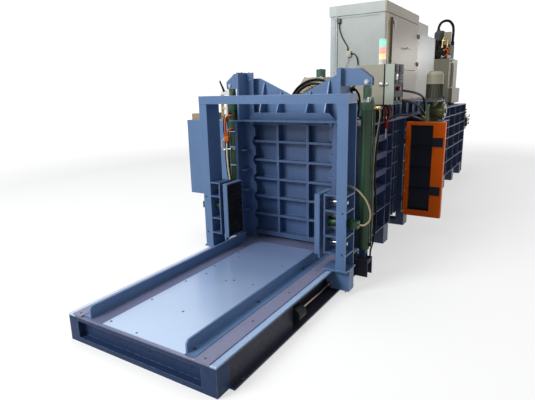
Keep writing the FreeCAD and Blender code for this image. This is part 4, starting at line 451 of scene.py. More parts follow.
class Kit:
    """Small parts of one finish on one body, gathered in one object. Places are machine millimetres."""

    def __init__(self, name, look, slot="fastener", body="frame"):
        self.name, self.look, self.slot, self.body = name, look, slot, body
        self.bm = bmesh.new()

    def box(self, low, high, bevel=1.5, turn=None):
        """A block with rounded edges; turn is (axis, degrees) about its own middle."""
        a, b = M(*map(min, low, high)), M(*map(max, low, high))
        verts = bmesh.ops.create_cube(self.bm, size=1.0)["verts"]
        bmesh.ops.scale(self.bm, vec=b - a, verts=verts)
        round_by = min(bevel / 1000, min(b - a) * 0.4)
        if round_by > 0:
            edges = list({edge for vert in verts for edge in vert.link_edges})
            made = bmesh.ops.bevel(self.bm, geom=edges, offset=round_by, segments=2, affect="EDGES",
                                   profile=0.5)
            verts = list(set(made["verts"]) | {vert for vert in verts if vert.is_valid})
        place = Matrix.Translation((a + b) / 2)
        if turn:
            place = place @ Matrix.Rotation(math.radians(turn[1]), 4, turn[0])
        bmesh.ops.transform(self.bm, matrix=place, verts=verts)

    def rod(self, start, end, radius, tip=None, sides=20):
        a, b = M(*start), M(*end)
        way = b - a
        place = Matrix.Translation((a + b) / 2) @ way.to_track_quat("Z", "Y").to_matrix().to_4x4()
        bmesh.ops.create_cone(self.bm, cap_ends=True, segments=sides, radius1=radius / 1000,
                              radius2=(radius if tip is None else tip) / 1000, depth=way.length, matrix=place)

    def bolt(self, at, normal, size=9.0):
        """A hexagon head on its washer, standing on a face."""
        at, out = Vector(at), Vector(normal).normalized()
        self.rod(at - out, at + out * size * 0.2, size * 1.3, sides=20)
        self.rod(at + out * size * 0.2, at + out * size * 0.75, size, sides=6)
        self.rod(at + out * size * 0.75, at + out * size * 0.9, size, tip=size * 0.78, sides=6)

    def bolt_circle(self, centre, normal, radius, count, size):
        """Bolts round an axis along Z, or along Y where the normal's Z is 0."""
        for step in range(count):
            turn = math.tau * (step + 0.5) / count
            across, on = radius * math.cos(turn), radius * math.sin(turn)
            out = (across, on, 0) if normal[2] else (across, 0, on)
            self.bolt([c + d for c, d in zip(centre, out)], normal, size)

    def rivet(self, at, normal, radius=6.0):
        at, out = Vector(at), Vector(normal).normalized()
        self.rod(at - out, at + out * radius * 0.3, radius, tip=radius * 0.9, sides=12)
        self.rod(at + out * radius * 0.3, at + out * radius * 0.6, radius * 0.9, tip=radius * 0.45, sides=12)

    def ring(self, at, normal, radius, thick, sides=28):
        """A round band about an axis."""
        at, out = Vector(at), Vector(normal).normalized()
        self.rod(at - out * thick / 2, at + out * thick / 2, radius, sides=sides)

    def bead(self, start, end, radius=4.0, pitch=10.0):
        """A rippled weld between two points."""
        a, b = M(*start), M(*end)
        way = b - a
        count = max(2, int(way.length * 1000 / pitch)) * 2
        side = way.orthogonal().normalized()
        up = way.cross(side).normalized()
        rings = []
        for step in range(count + 1):
            size = radius / 1000 * (1.0 if step % 2 else 0.7) * RNG.uniform(0.88, 1.12)
            middle = a + way * (step / count)
            rings.append([self.bm.verts.new(middle + (side * math.cos(q) + up * math.sin(q)) * size)
                          for q in (math.tau * k / 6 for k in range(6))])
        for one, two in zip(rings, rings[1:]):
            for k in range(6):
                self.bm.faces.new((one[k], one[(k + 1) % 6], two[(k + 1) % 6], two[k]))

    def done(self):
        bmesh.ops.recalc_face_normals(self.bm, faces=self.bm.faces)
        for face in self.bm.faces:
            face.smooth = True
        for edge in self.bm.edges:
            if len(edge.link_faces) == 2 and edge.calc_face_angle(0) > 0.6:
                edge.smooth = False
        mesh = bpy.data.meshes.new(self.name)
        self.bm.to_mesh(mesh)
        self.bm.free()
        thing = bpy.data.objects.new(self.name, mesh)
        bpy.context.scene.collection.objects.link(thing)
        mesh.materials.append(LOOKS[self.look])
        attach(thing, self.body)


def hoses(name, look, routes, body="frame"):
    """Smooth hoses: routes are (radius, points given)."""
    for number, (radius, points) in enumerate(routes):
        word = "%s_%d" % (name, number + 1)
        data = bpy.data.curves.new(word, "CURVE")
        data.dimensions = "3D"
        data.bevel_depth = radius / 1000
        data.bevel_resolution = 4
        data.resolution_u = 8
        data.use_fill_caps = True
        line = data.splines.new("NURBS")
        line.points.add(len(points) - 1)
        for point, at in zip(line.points, points):
            point.co = (*M(*at), 1)
        line.order_u = 4
        line.use_endpoint_u = True
        data.materials.append(LOOKS[look])
        thing = bpy.data.objects.new(word, data)
        bpy.context.scene.collection.objects.link(thing)
        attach(thing, body)


def operator_box():
    clasp = Kit("box_clasp", "bare")
    clasp.box((2692, -664, 1690), (2700, -630, 1724), 3)
    clasp.rod((2689, -640, 1712), (2689, -666, 1700), 7)
    clasp.rod((2690, -650, 1707), (2700, -650, 1707), 10)
    clasp.box((2696, -660, 1600), (2700, -648, 1612), 2)
    for low in (1560, 1835):
        clasp.rivet((2700, -420, low), FRONT, 5)
    clasp.done()
    catch = Kit("cover_catch", "bare", body="cover")
    catch.box((2692, -716, 1694), (2700, -692, 1722), 3)
    catch.rod((2690, -698, 1716), (2690, -698, 1698), 5)
    catch.done()
    panel = Kit("panel_frame", "black", "black", "cover")
    for low, high in (((2708, 1522), (3002, 1527)), ((2708, 1707), (3002, 1712)),
                      ((2708, 1522), (2713, 1712)), ((2997, 1522), (3002, 1712))):
        panel.box((low[0], -775, low[1]), (high[0], -771, high[1]), 1)
    panel.box((2842, -776, 1716), (2848, -771, 1880), 2)
    panel.done()
    tiles = Kit("panel_tiles", "cover", "beige", "cover")
    left, right, upper, lower = (2718, 2836), (2854, 2992), (1822, 1884), (1718, 1812)
    for wide, high in ((left, upper), (right, upper), (right, lower), (left, lower)):
        tiles.box((wide[0], -775, high[0]), (wide[1], -771, high[1]), 3)
    tiles.done()
    screen = Kit("panel_display", "glass", "lens", "cover")
    screen.box((2728, -776.2, 1750), (2826, -774.5, 1802), 0.5)
    screen.done()
    keys = Kit("keypad_keys", "key", "white", "cover")
    for line in range(3):
        for column in range(4):
            across, up = 2862 + column * 31, 1726 + line * 27
            keys.box((across, -776.5, up), (across + 23, -774.5, up + 18), 1.5)
    keys.done()
    bands = Kit("tower_bands", "white", "white")
    for high in (*LENS_FEET, 2120):
        bands.ring((2742, -636, high), UP, 33.5, 4)
    bands.rod((2742, -636, 1896), (2742, -636, 1902), 40)
    bands.done()


def lug_fittings():
    """Pins' washers, keeper plates, weld beads and the primer left along one lug."""
    primer = Kit("lug_primer", "dark_red", "red", "door")
    primer.rod((2013.2, -691, 1840), (2013.2, -786, 1766), 2.6, sides=8)
    primer.done()
    discs = Kit("pin_washers", "bare", body="door")
    for centre, side in LIFT_AXES:
        for face, out in ((2014, -1), (2090, 1)):
            discs.ring((face + out * 2, centre, 1728), ALONG, 20, 4)
            discs.ring((face + out * 10.5, centre, 1728), ALONG, 15, 2)
    discs.done()
    keepers = Kit("pin_keepers", "blue_door_shaded", "blue_portal", "door")
    for centre, side in LIFT_AXES:
        keepers.box((2009, centre + side * 20, 1712), (2014, centre + side * 34, 1736), 1.5)
    keepers.done()
    guard = Kit("rod_guard", "black", "black", "door")
    for step in range(8):
        guard.box((2044, -716.5, 1584 + step * 14), (2060, -706, 1592 + step * 14), 1)
    guard.box((2049, -716.5, 1584), (2055, -712, 1690), 1)
    guard.done()
    beads = Kit("yoke_welds", "weld", "blue_portal", "door")
    for side in (-1, 1):
        inner = 537 * side
        for face in (2014, 2090):
            beads.bead((face, inner + 2 * side, 1704), (face, inner + 2 * side, 1840), 4)
        beads.bead((1962, inner, 1363), (2184, inner, 1363), 5)
        beads.bead((1960, 518 * side, 1363), (1960, inner, 1363), 4)
    beads.bead((2039, -440, 1363), (2039, 440, 1363), 4)
    beads.bead((2169, -440, 1363), (2169, 440, 1363), 4)
    for across in (-345, -155, 155, 345):
        for side in (-6.5, 6.5):
            beads.bead((2057, across + side, 1362), (2168, across + side, 1362), 3.5)
    beads.done()
    bolts = Kit("yoke_bolts", "bare", body="door")
    for side in (-1, 1):
        for up in (1420, 1600, 1780):
            bolts.bolt((2105, 479 * side, up), FRONT, 7)
        for back in (2000, 2120):
            bolts.bolt((back, 500 * side, 1850), UP, 6)
    bolts.done()


def door_welds():
    beads = Kit("door_welds", "weld", "blue", "door")
    for rib in range(5):
        up = 441 + 187 * rib
        for across in (-174, -150, 150, 174):
            beads.bead((2087, across, up - 14), (2150, across, up - 14), 3, 12)
        beads.bead((2165, -470, up + 11), (2165, 470, up + 11), 3, 14)
    beads.done()


def portal_fittings():
    centre, half, post = -51, 723, 84
    beads = Kit("portal_welds", "weld", "blue_portal", "carriage")
    for side in (-1, 1):
        inner = centre + (half - post) * side
        beads.bead((1545, inner, 1569), (1545, inner + post * side, 1569), 2.5)
        beads.bead((1548, inner - 1.5 * side, 1569), (1732, inner - 1.5 * side, 1569), 4)
        outer = centre + half * side
        beads.bead((1548, outer + 2 * side, 42), (1732, outer + 2 * side, 42), 5)
    beads.done()
    # A thin bare strip along the right beam's lower edge: a painted highlight.
    edge_highlight = Kit("portal_edge_highlight", "bare", "blue_portal", "carriage")
    edge_highlight.box((1548, -777, 1569), (1732, -773.6, 1573), 1)
    edge_highlight.done()
    bolts = Kit("carriage_bolts", "zinc", body="carriage")
    for side in (-1, 1):
        for along in (1560, 1640, 1720):
            bolts.bolt((along, centre + (half + 8) * side, 41), UP, 6)
        for up in (360, 710) * 2:  # both are built twice in one place, which their shading shows
            bolts.bolt((1546, centre + (half - 30) * side, up), FRONT, 7)
    bolts.done()


def side_hoses():
    """Hoses between the door frame, the lift cylinders and the press body, as the photograph shows them."""
    hoses("column_hose_black", "hose", [
        (8, [(1990, -538, 1262), (1990, -575, 1256), (1990, -618, 1200), (1990, -638, 1090),
         (1990, -618, 985), (1990, -575, 930), (1990, -538, 925)]),
        (8, [(1992, -538, 905), (1992, -575, 898), (1992, -618, 850), (1992, -636, 760), (1992, -638, 640),
         (1992, -634, 500), (1992, -612, 380), (1992, -570, 330), (1992, -538, 326)]),
        (10, [(2206, -590, 1345), (2206, -600, 1420), (2206, -618, 1500), (2206, -622, 1580),
         (2208, -600, 1650), (2210, -560, 1680), (2214, -530, 1676)]),
        (9, [(2222, -560, 1345), (2222, -580, 1400), (2222, -612, 1470), (2222, -606, 1560),
         (2222, -560, 1620), (2222, -530, 1650)]),
    ])
    hoses("column_hose_cream", "cream", [
        (5, [(2004, -690, 1430), (1992, -668, 1440), (1986, -636, 1456), (1986, -610, 1436),
         (1988, -590, 1400), (1994, -560, 1390), (1996, -538, 1390)]),
        (5, [(2236, -540, 1345), (2236, -566, 1420), (2232, -590, 1500), (2228, -586, 1560),
         (2226, -560, 1610)]),
    ])
    hoses("column_hose_copper", "copper", [
        (6, [(2004, -696, 1372), (1992, -668, 1374), (1988, -630, 1372), (1990, -590, 1366),
         (1994, -560, 1364), (1996, -538, 1364)]),
    ])
    hoses("lift_line_beige", "hose_beige", [
        (5, [(2060, -846, 1500), (2058, -856, 1486), (2056, -856, 1440), (2056, -846, 1380),
         (2058, -834, 1290), (2060, -818, 1170), (2060, -812, 1040), (2060, -812, 900), (2062, -814, 760),
         (2064, -818, 560), (2066, -812, 380), (2068, -800, 300), (2064, -786, 262)]),
    ])
    valve = Kit("column_valve", "black", "black")
    valve.box((2200, -560, 1650), (2244, -462, 1697), 4)
    valve.rod((2228, -505, 1345), (2228, -505, 1652), 13)
    valve.done()
    lever = Kit("column_valve_lever", "brass")
    lever.rod((2198, -492, 1668), (2198, -580, 1704), 7, tip=9)
    lever.rod((2200, -500, 1668), (2190, -500, 1668), 13, sides=6)
    lever.done()
    caps = Kit("lift_head_caps", "green", "green")
    for centre, side in LIFT_AXES:
        caps.box((2038, centre + 33 * side, 1562), (2066, centre + 56 * side, 1594), 3)
        caps.rod((2052, centre + 44 * side, 1594), (2052, centre + 44 * side, 1602), 8, sides=6)
    caps.done()
    ports = Kit("lift_ports", "brass")
    for centre, side in LIFT_AXES:
        for start, end, radius, sides in ((60, 84, 16, 6), (84, 104, 12, 20), (96, 112, 14, 6)):
            reach = (2052, centre + start * side, 1514), (2052, centre + end * side, 1514)
            ports.rod(*reach, radius, sides=sides)
    ports.rod((2052, -806, 1514), (2070, -846, 1505), 9)
    ports.done()
    studs = Kit("lift_head_studs", "bare")
    for centre, side in LIFT_AXES:
        studs.bolt_circle((2052, centre, 1562), UP, 48, 6, 6)
    studs.done()
    glands = Kit("lift_glands", "bare")
    for centre, side in LIFT_AXES:
        glands.ring((2052, centre, 1566), UP, 31, 8)
    glands.done()


def left_side():
    """The left column's plate, hook lever, slotted strip and its bundle of hoses."""
    shelf = Kit("left_shelf", "white", "blue_portal")
    shelf.box((2198, 562, 1642), (2204, 916, 1674), 1.5)
    shelf.done()
    lever = Kit("left_lever", "black", "black")
    lever.rod((2212, 931, 1786), (2212, 884, 1690), 8, tip=12)
    lever.rod((2212, 884, 1694), (2212, 884, 1640), 13)
    lever.done()
    hook = Kit("left_hook", "bare")
    hook.box((2204, 790, 1664), (2216, 862, 1684), 3)
    corners = [(2212, 806 + 26 * math.cos(turn), 1708 + 26 * math.sin(turn))
               for turn in (math.radians(-70 + 38 * step) for step in range(8))]
    for start, end in zip(corners, corners[1:]):
        hook.rod(start, end, 5, sides=10)
    hook.done()
    strip = Kit("left_strip", "cabinet_left", "beige")
    strip.box((2203, 884, 1377), (2209, 922, 1660), 1)
    strip.done()
    feet = Kit("left_strip_foot", "blue_portal", "blue_portal")
    feet.box((2203, 884, 1290), (2210, 922, 1380), 1)
    feet.box((2204, 604, 1345), (2216, 644, 1648), 2)
    feet.done()
    holes = Kit("left_strip_holes", "black", "black")
    for up in (1420, 1480, 1540):
        holes.rod((2202.2, 906, up), (2203.5, 906, up), 7)
    holes.done()
    pipe = Kit("left_pipe", "white", "hose_beige")
    pipe.rod((1984, 678, 1560), (1980, 678, 1440), 13)
    pipe.rod((1984, 678, 1560), (2052, 672, 1562), 10)
    pipe.done()
    hoses("left_copper", "copper", [
        (11, [(2006, 634, 1440), (1990, 640, 1444), (1978, 656, 1446), (1976, 686, 1436), (1976, 704, 1396),
         (1976, 710, 1340), (1976, 710, 1290), (1976, 704, 1242)]),
        (9, [(2006, 632, 1312), (1988, 640, 1314), (1977, 660, 1306), (1976, 678, 1284), (1976, 684, 1262),
         (1976, 686, 1240)]),
    ])
    hoses("left_dark", "hose", [
        (5, [(2006, 640, 1462), (1990, 650, 1466), (1974, 676, 1466), (1972, 706, 1446), (1972, 724, 1396),
         (1972, 728, 1330), (1972, 726, 1270), (1974, 716, 1236)]),
        (6, [(1976, 714, 1186), (1974, 718, 1110), (1974, 716, 1000), (1975, 708, 900), (1976, 694, 800),
         (1978, 680, 700), (1979, 672, 560), (1980, 668, 420), (1984, 662, 330), (2006, 660, 300)]),
        (6, [(1976, 672, 1186), (1974, 676, 1110), (1974, 676, 1000), (1975, 668, 900), (1976, 656, 800),
         (1978, 644, 700), (1979, 640, 560), (1980, 640, 420), (1984, 644, 330), (2006, 648, 300)]),
    ])
    hoses("left_cream", "cream", [
        (10, [(1976, 693, 1186), (1974, 697, 1110), (1974, 696, 1000), (1975, 688, 900), (1976, 675, 800),
         (1978, 662, 700), (1979, 656, 560), (1980, 654, 420), (1984, 654, 330), (2006, 655, 300)]),
    ])
    hoses("left_olive", "brass", [
        (5, [(1976, 716, 1214), (1972, 742, 1206), (1970, 758, 1166), (1970, 752, 1116), (1972, 732, 1094),
         (1976, 708, 1100)]),
    ])
    block = Kit("left_manifold", "copper", "orange")
    block.box((1962, 664, 1186), (1990, 720, 1238), 6)
    block.rod((1976, 704, 1236), (1976, 704, 1262), 14, sides=6)
    block.rod((1976, 684, 1236), (1976, 684, 1256), 12, sides=6)
    block.rod((1976, 693, 1190), (1976, 693, 1166), 13, sides=6)
    block.done()
    clamps = Kit("left_clamps", "bare")
    clamps.ring((2052, 655, 1110), UP, 52, 16, 40)
    clamps.ring((2052, 655, 620), UP, 52, 16, 40)
    clamps.box((1966, 640, 1104), (2004, 726, 1116), 2)
    clamps.box((1970, 632, 614), (2004, 690, 626), 2)
    clamps.done()
    shelves = Kit("left_shelves", "plate", "blue_portal")
    for up in (1284, 1130, 946):
        shelves.box((1966, 537, up), (1998, 652, up + 8), 2)
    shelves.done()


def valve_group():
    """Fittings on the prefill valve and along its two arcs."""
    slots = Kit("valve_slots", "black", "black")
    for across, up in ((120, 1712), (60, 1712), (160, 1640)):
        slots.box((2557, across - 14, up - 5), (2561, across + 14, up + 5), 1)
    slots.ring((2650, -32, 1795), UP, 49.5, 4)
    slots.done()
    tip = Kit("valve_tip", "dark_red", "red")
    tip.rod((2650, -32, 1873), (2650, -32, 1878), 20, tip=14)
    tip.done()
    crimps = Kit("arc_crimps", "bare")
    for along, across in ((2530, 288), (2530, -276), (2496, 236), (2496, -244)):
        crimps.rod((along, across, 1345), (along, across, 1363), 21, sides=6)
        crimps.rod((along, across, 1363), (along, across, 1402), 16)
    crimps.done()
    bolts = Kit("valve_bolts", "bare")
    for along in (2590, 2770):
        for across in (-60, 120):
            bolts.bolt((along, across, 1795), UP, 9)
    bolts.done()
    fitting = Kit("valve_fitting", "brass")
    fitting.rod((2560, 30, 1700), (2536, 30, 1700), 15, sides=6)
    fitting.rod((2536, 30, 1700), (2526, 30, 1700), 11)
    fitting.rod((2560, -60, 1660), (2540, -60, 1660), 13, sides=6)
    fitting.done()


def hopper_fittings():
    folds = Kit("hopper_folds", "hopper", "sheet")
    folds.box((3703, 250, 1512), (3708, 258, 2528), 1)
    folds.box((3703, -376, 1512), (3708, -370, 2528), 1)
    folds.box((3703, -376, 2526), (3708, 348, 2532), 1)
    folds.done()
    rivets = Kit("hopper_rivets", "bare")
    for step in range(10):
        up = 1560 + step * 105
        rivets.rivet((3706, 300, up), FRONT, 5)
        rivets.rivet((3706, -352, up), FRONT, 5)
    for step in range(12):
        rivets.rivet((3760 + step * 118, -382, 2560), NEAR, 6)
    rivets.done()
    handle = Kit("hatch_handle", "bare", body="hatch")
    handle.box((4480, -400, 2160), (4500, -382, 2176), 2)
    handle.box((4620, -400, 2160), (4640, -382, 2176), 2)
    handle.rod((4480, -400, 2168), (4640, -400, 2168), 7)
    handle.done()
    glands = Kit("sensor_glands", "black", "black")
    glands.rod((3704, 222, 2448), (3704, 222, 2434), 9, tip=7)
    glands.rod((3704, 108, 2120), (3704, 108, 2134), 9, tip=7)
    glands.rod((3704, 65, 2085), (3704, 52, 2085), 10, tip=8)
    glands.done()
    cover = Kit("sensor_covers", "cream", "hose_beige")
    cover.box((3687, 70, 2056), (3691, 110, 2114), 2)
    cover.done()
    hoses("sensor_wires", "hose", [
        (2, [(3703, 88, 2050), (3703, 92, 2010), (3702, 110, 1975), (3702, 128, 1930), (3703, 132, 1860),
         (3703, 134, 1700), (3703, 134, 1512)]),
    ])


def cabinet_fittings():
    rivets = Kit("strip_rivets", "bare")
    for step in range(15):
        rivets.rivet((5322, -335, 1540 + step * 62), NEAR, 5)
    rivets.done()
    seams = Kit("cabinet_seams", "cabinet", "gloss_panel")
    seams.box((5352, -317, 1512), (6474, -314, 1520), 0.8)
    seams.box((5352, -317, 2428), (6474, -314, 2436), 0.8)
    seams.box((6466, -317, 1520), (6474, -314, 2428), 0.8)
    seams.done()


def motor_fittings():
    axis = (4430, -780)
    sides = 24
    grille = Kit("motor_grille", "motor", "motor")
    for radius in (24, 44, 64):
        corners = [(axis[0] + radius * math.cos(turn), axis[1] + radius * math.sin(turn), 1863)
                   for turn in (math.tau * step / sides for step in range(sides + 1))]
        for start, end in zip(corners, corners[1:]):
            grille.rod(start, end, 2.5, sides=6)
    grille.done()
    bolts = Kit("motor_bolts", "bare")
    bolts.bolt_circle((*axis, 1522), UP, 98, 8, 6)
    bolts.done()
    bolts = Kit("drum_bolts", "bare")
    bolts.bolt_circle((4470, -919, 1372.5), NEAR, 74, 8, 7)
    bolts.done()
    hoses("pump_hoses", "hose", [
        (13, [(3010, -600, 1700), (3060, -600, 1690), (3130, -606, 1672), (3220, -650, 1652),
         (3450, -745, 1630), (3700, -770, 1600), (3900, -775, 1560), (4020, -765, 1480), (4080, -750, 1400),
         (4150, -735, 1370)]),
        (13, [(3010, -600, 1590), (3060, -600, 1585), (3130, -606, 1572), (3236, -660, 1549),
         (3480, -745, 1520), (3700, -775, 1470), (3850, -785, 1400), (4000, -770, 1350),
         (4150, -740, 1330)]),
        (12, [(3120, -600, 1345), (3160, -640, 1378), (3300, -700, 1390), (3480, -740, 1372),
         (3700, -775, 1330), (3900, -775, 1290), (4050, -755, 1290), (4150, -735, 1300)]),
    ])
    plug = Kit("pump_plugs", "dark_red", "red")
    plug.rod((3214, -650, 1554), (3262, -674, 1544), 20)
    plug.done()
    glands = Kit("pump_glands", "brass")
    for up in (1370, 1330, 1300):
        glands.rod((4148, -737, up), (4172, -731, up), 19, sides=6)
    glands.rod((3008, -600, 1700), (3030, -600, 1697), 19, sides=6)
    glands.done()


def tank_fittings():
    sleeve = Kit("arch_sleeve", "manifold", "black")
    sleeve.rod((7558, -389, 2470), (7558, -389, 2402), 31, sides=8)
    sleeve.rod((7450, -150, 2662), (7450, -150, 2690), 34, sides=8)
    sleeve.done()
    valves = Kit("tank_brass", "brass")
    for across, up, radius in ((-274, 2372, 18), (-318, 2310, 16), (-360, 2362, 15), (-200, 2300, 15),
                               (-352, 2210, 14)):
        valves.rod((7280, across, up), (7256, across, up), radius, sides=6)
        valves.rod((7256, across, up), (7240, across, up), radius * 0.7)
    valves.rod((7240, -274, 2372), (7240, -274, 2470), 10)
    valves.rod((7240, -274, 2470), (7240, -300, 2530), 9)
    valves.rod((7240, -360, 2362), (7240, -366, 2478), 8)
    valves.box((7232, -330, 2466), (7246, -262, 2478), 2)
    valves.done()
    hoses("tank_hoses", "copper", [
        (11, [(7240, -318, 2310), (7222, -346, 2330), (7216, -372, 2310), (7216, -384, 2262),
         (7218, -366, 2220), (7226, -320, 2192), (7244, -270, 2180), (7280, -262, 2178)]),
        (8, [(7240, -360, 2362), (7222, -384, 2366), (7216, -400, 2330), (7216, -400, 2270),
         (7222, -384, 2216), (7240, -352, 2196), (7280, -340, 2190)]),
    ])
    hoses("tank_hoses_dark", "hose", [
        (13, [(7240, -200, 2300), (7214, -196, 2310), (7204, -180, 2340), (7206, -160, 2400),
         (7240, -150, 2450), (7290, -150, 2480), (7360, -160, 2490), (7400, -170, 2480)]),
        (14, [(7690, -120, 2330), (7716, -150, 2334), (7730, -220, 2320), (7730, -300, 2270),
         (7720, -340, 2200), (7710, -340, 2158)]),
        (12, [(7280, -60, 2260), (7236, -62, 2262), (7216, -90, 2250), (7214, -150, 2230),
         (7222, -190, 2196), (7250, -200, 2176), (7262, -200, 2150)]),
    ])
    taps = Kit("tank_taps", "bare")
    for along, across, up in ((7096, -404, 2162), (7150, -404, 2162), (7210, -404, 2162), (7120, -300, 2162)):
        taps.rod((along, across, up), (along, across, up + 40), 15, sides=6)
        taps.rod((along, across, up + 26), (along, across - 34, up + 26), 8)
        taps.box((along - 22, across - 6, up + 40), (along + 22, across + 6, up + 48), 2)
    for along, up in ((7150, 2110), (7230, 2124)):
        taps.rod((along, -450, up), (along, -486, up), 14, sides=6)
        taps.rod((along, -480, up - 20), (along, -480, up + 24), 8)
    taps.done()
    gauge = Kit("tank_gauge", "beige", "beige")
    gauge.box((7238, -478, 1650), (7302, -470, 2085), 4)
    gauge.done()
    tube = Kit("gauge_tube", "glass", "lens")
    tube.rod((7270, -482, 1690), (7270, -482, 2045), 9)
    tube.done()
    ends = Kit("gauge_ends", "bare")
    for up in (1680, 2055):
        ends.rod((7270, -470, up), (7270, -492, up), 14, sides=6)
    ends.done()
    lid = Kit("tank_lid_bolts", "bare")
    for step in range(7):
        lid.bolt((7100 + step * 116, -400, 2162), UP, 8)
        lid.bolt((7100 + step * 116, 180, 2162), UP, 8)
    lid.done()
    handles = Kit("rear_valve_handles", "black", "black")
    for up in (1090, 1020, 950):
        handles.rod((7990, -680, up), (7990, -712, up), 7)
        handles.rod((7990, -712, up - 8), (7990, -712, up + 44), 9)
    handles.done()
    hoses("rear_pipes", "copper", [
        (9, [(7945, -640, 1120), (7940, -640, 1165), (7890, -672, 1190), (7780, -690, 1190),
         (7700, -690, 1170), (7660, -670, 1150)]),
        (9, [(7960, -600, 1124), (7960, -610, 1210), (7910, -660, 1240), (7800, -690, 1236),
         (7720, -690, 1226), (7660, -670, 1220)]),
    ])


def table_fittings():
    edge_places = [(along, across) for along in (60, 430, 800, 1170, 1540, 1880) for across in (-388, 280)]
    screws = Kit("wear_screws", "dark_steel")
    for along, across in edge_places + [(400, -50), (1000, -50)]:
        screws.rod((along, across, 205.5), (along, across, 206.6), 9)
    screws.done()
    sockets = Kit("wear_screw_sockets", "black", "black")
    for along, across in edge_places:
        sockets.rod((along, across, 206.2), (along, across, 206.9), 4.2, sides=6)
    sockets.done()
    beads = Kit("table_welds", "weld_deep", "blue")
    beads.bead((115, -652, 187), (2180, -652, 187), 3, 12)
    beads.bead((4, -640, 187), (4, 640, 187), 3, 12)
    beads.bead((112, -572, 14), (2180, -572, 14), 4, 12)
    beads.done()
    beads = Kit("rail_welds", "weld", "blue_portal")
    for across in (-425.5, 448.5):
        for step in range(9):
            start = 60 + step * 205
            beads.bead((start, across, 208), (start + 70, across, 208), 3.5)
    beads.done()


def body_fittings():
    beads = Kit("body_welds", "weld_deep", "blue")
    for side in (-1, 1):
        for up in (650, 829, 1008, 1187):
            beads.bead((2200, 427 * side, up + 7), (3140, 427 * side, up + 7), 4, 16)
    beads.bead((2186, -642, 1346), (2186, 642, 1346), 4, 14)
    beads.done()
    tools = Kit("bay_tools", "dark_red", "red")
    tools.rod((2835, -667, 1276), (2835, -667, 1362), 13)
    tools.rod((2835, -667, 1362), (2835, -667, 1376), 13, tip=7)
    tools.done()
    shafts = Kit("bay_tool_shafts", "bare")
    shafts.rod((2835, -667, 1376), (2835, -667, 1398), 5)
    shafts.rod((2835, -667, 1180), (2835, -667, 1276), 5)
    shafts.rod((2835, -640, 1392), (2835, -670, 1392), 4)
    shafts.rod((2835, -640, 1345), (2835, -640, 1394), 4)
    shafts.done()
    hoses("bay_wire", "dark_red", [
        (3, [(2925, -640, 1345), (2925, -656, 1372), (2925, -668, 1372), (2925, -674, 1330),
         (2922, -672, 1280), (2915, -668, 1250), (2908, -664, 1280), (2908, -662, 1330), (2912, -656, 1366),
         (2916, -640, 1345)]),
    ])
    terminals = Kit("box_terminals", "black", "black")
    terminals.box((2712, -655, 1400), (2996, -600, 1516), 4)
    terminals.done()
    hoses("box_hoses", "hose", [
        (8, [(2740, -640, 1516), (2736, -668, 1480), (2740, -672, 1420), (2750, -645, 1345)]),
        (9, [(2850, -645, 1516), (2846, -690, 1480), (2880, -700, 1420), (2900, -640, 1345)]),
        (7, [(2970, -645, 1516), (2976, -690, 1470), (2960, -690, 1400), (2950, -640, 1345)]),
    ])
    hoses("box_wire_red", "dark_red", [
        (6, [(2790, -650, 1516), (2800, -684, 1470), (2810, -680, 1400), (2800, -640, 1345)]),
    ])
    hoses("box_wire_copper", "copper", [
        (6, [(2930, -640, 1516), (2950, -694, 1450), (2930, -684, 1380), (2940, -640, 1345)]),
    ])
    gate = Kit("gate_screws", "bare", body="gate")
    for up in (250, 500, 750, 1000, 1240):
        gate.rivet((3544, -700, up), FRONT, 6)
    gate.done()


for make in (operator_box, lug_fittings, door_welds, portal_fittings, side_hoses, left_side, valve_group,
             hopper_fittings, cabinet_fittings, motor_fittings, tank_fittings, table_fittings, body_fittings):
    make()


# ---------------------------------------------------------------- stage, light and camera

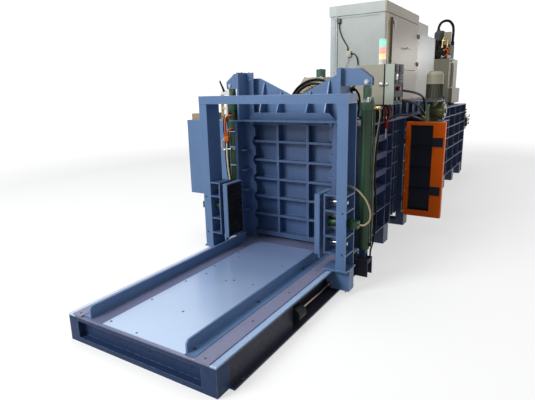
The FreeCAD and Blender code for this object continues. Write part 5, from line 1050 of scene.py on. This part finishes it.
def make_stage():
    """A plain pale floor that fades to white far away, and a weak even sky."""
    bpy.ops.mesh.primitive_plane_add(size=90, location=(0, 0, -0.001))
    floor = bpy.context.object
    floor.name = "floor"
    look = Look("floor", (0.42, 0.42, 0.415), 0.85, spec=0.15)
    path = look.add("ShaderNodeLightPath")
    seen = look.math("MAXIMUM", path.outputs["Is Camera Ray"], path.outputs["Is Glossy Ray"])
    away = look.add("ShaderNodeVectorMath", operation="LENGTH")
    look.link(look.coords, away, 0)
    level = look.span(away.outputs["Value"], 6.5, 13.0, 0.58, 1.0)
    glow = look.add("ShaderNodeEmission")
    look.link(look.math("MULTIPLY", seen, level), glow, "Strength")
    both = look.add("ShaderNodeAddShader")
    look.tree.links.new(look.shader.outputs[0], both.inputs[0])
    look.tree.links.new(glow.outputs[0], both.inputs[1])
    look.tree.links.new(both.outputs[0], look.tree.nodes["Material Output"].inputs["Surface"])
    floor.data.materials.append(look.mat)

    world = bpy.data.worlds.new("studio")
    bpy.context.scene.world = world
    world.use_nodes = True
    tree = world.node_tree
    back = tree.nodes["Background"]
    back.inputs["Color"].default_value = (0.95, 0.97, 1.0, 1)
    path = tree.nodes.new("ShaderNodeLightPath")
    level = tree.nodes.new("ShaderNodeMapRange")
    level.inputs["To Min"].default_value = 0.27
    level.inputs["To Max"].default_value = 1.1
    seen = tree.nodes.new("ShaderNodeMath")
    seen.operation = "MAXIMUM"
    tree.links.new(path.outputs["Is Camera Ray"], seen.inputs[0])
    tree.links.new(path.outputs["Is Glossy Ray"], seen.inputs[1])
    tree.links.new(seen.outputs[0], level.inputs["Value"])
    tree.links.new(level.outputs["Result"], back.inputs["Strength"])


def lamp(name, at, towards, power, size, colour=(1, 1, 1)):
    data = bpy.data.lights.new(name, "AREA")
    data.shape = "SQUARE"
    data.size = size
    data.energy = power
    data.color = colour
    thing = bpy.data.objects.new(name, data)
    bpy.context.scene.collection.objects.link(thing)
    thing.location = at
    thing.rotation_euler = (Vector(towards) - Vector(at)).to_track_quat("-Z", "Y").to_euler()


def make_camera():
    """The photograph's camera: solved from the table's, the portal's and the door's edges."""
    yaw, pitch, roll = 0.559, 0.2388, 0.0239
    focal, photo_width = 450.61, 535
    ahead = Vector((math.cos(yaw) * math.cos(pitch), math.sin(yaw) * math.cos(pitch), -math.sin(pitch)))
    right = Vector((math.sin(yaw), -math.cos(yaw), 0))
    down = ahead.cross(right)
    across = right * math.cos(roll) + down * math.sin(roll)
    below = -right * math.sin(roll) + down * math.cos(roll)
    data = bpy.data.cameras.new("photo_camera")
    data.sensor_fit = "HORIZONTAL"
    data.sensor_width = 36
    data.lens = focal * data.sensor_width / photo_width
    data.clip_end = 200
    thing = bpy.data.objects.new("photo_camera", data)
    bpy.context.scene.collection.objects.link(thing)
    turn = Matrix((across, -below, -ahead)).transposed()
    thing.matrix_world = Matrix.Translation(M(-1697.5, -2072.5, 1679.3)) @ turn.to_4x4()
    bpy.context.scene.camera = thing


make_camera()
make_stage()
lamp("window_light", (-10.5, 3.5, 6.5), (-1.5, 0, 0.8), 830, 4.0, (0.97, 0.985, 1.0))
lamp("roof_light", (-1.5, 2.0, 9.0), (-0.5, 0, 0), 330, 5.0)
lamp("side_light", (1.0, -9.0, 5.0), (0.8, 0, 1.8), 90, 5.0, (1.0, 0.97, 0.92))
lamp("aisle_light", (9.4, -3.2, 2.6), (2.2, -0.4, 2.0), 12, 0.8, (1.0, 0.97, 0.92))
bpy.context.scene.view_settings.view_transform = "Standard"
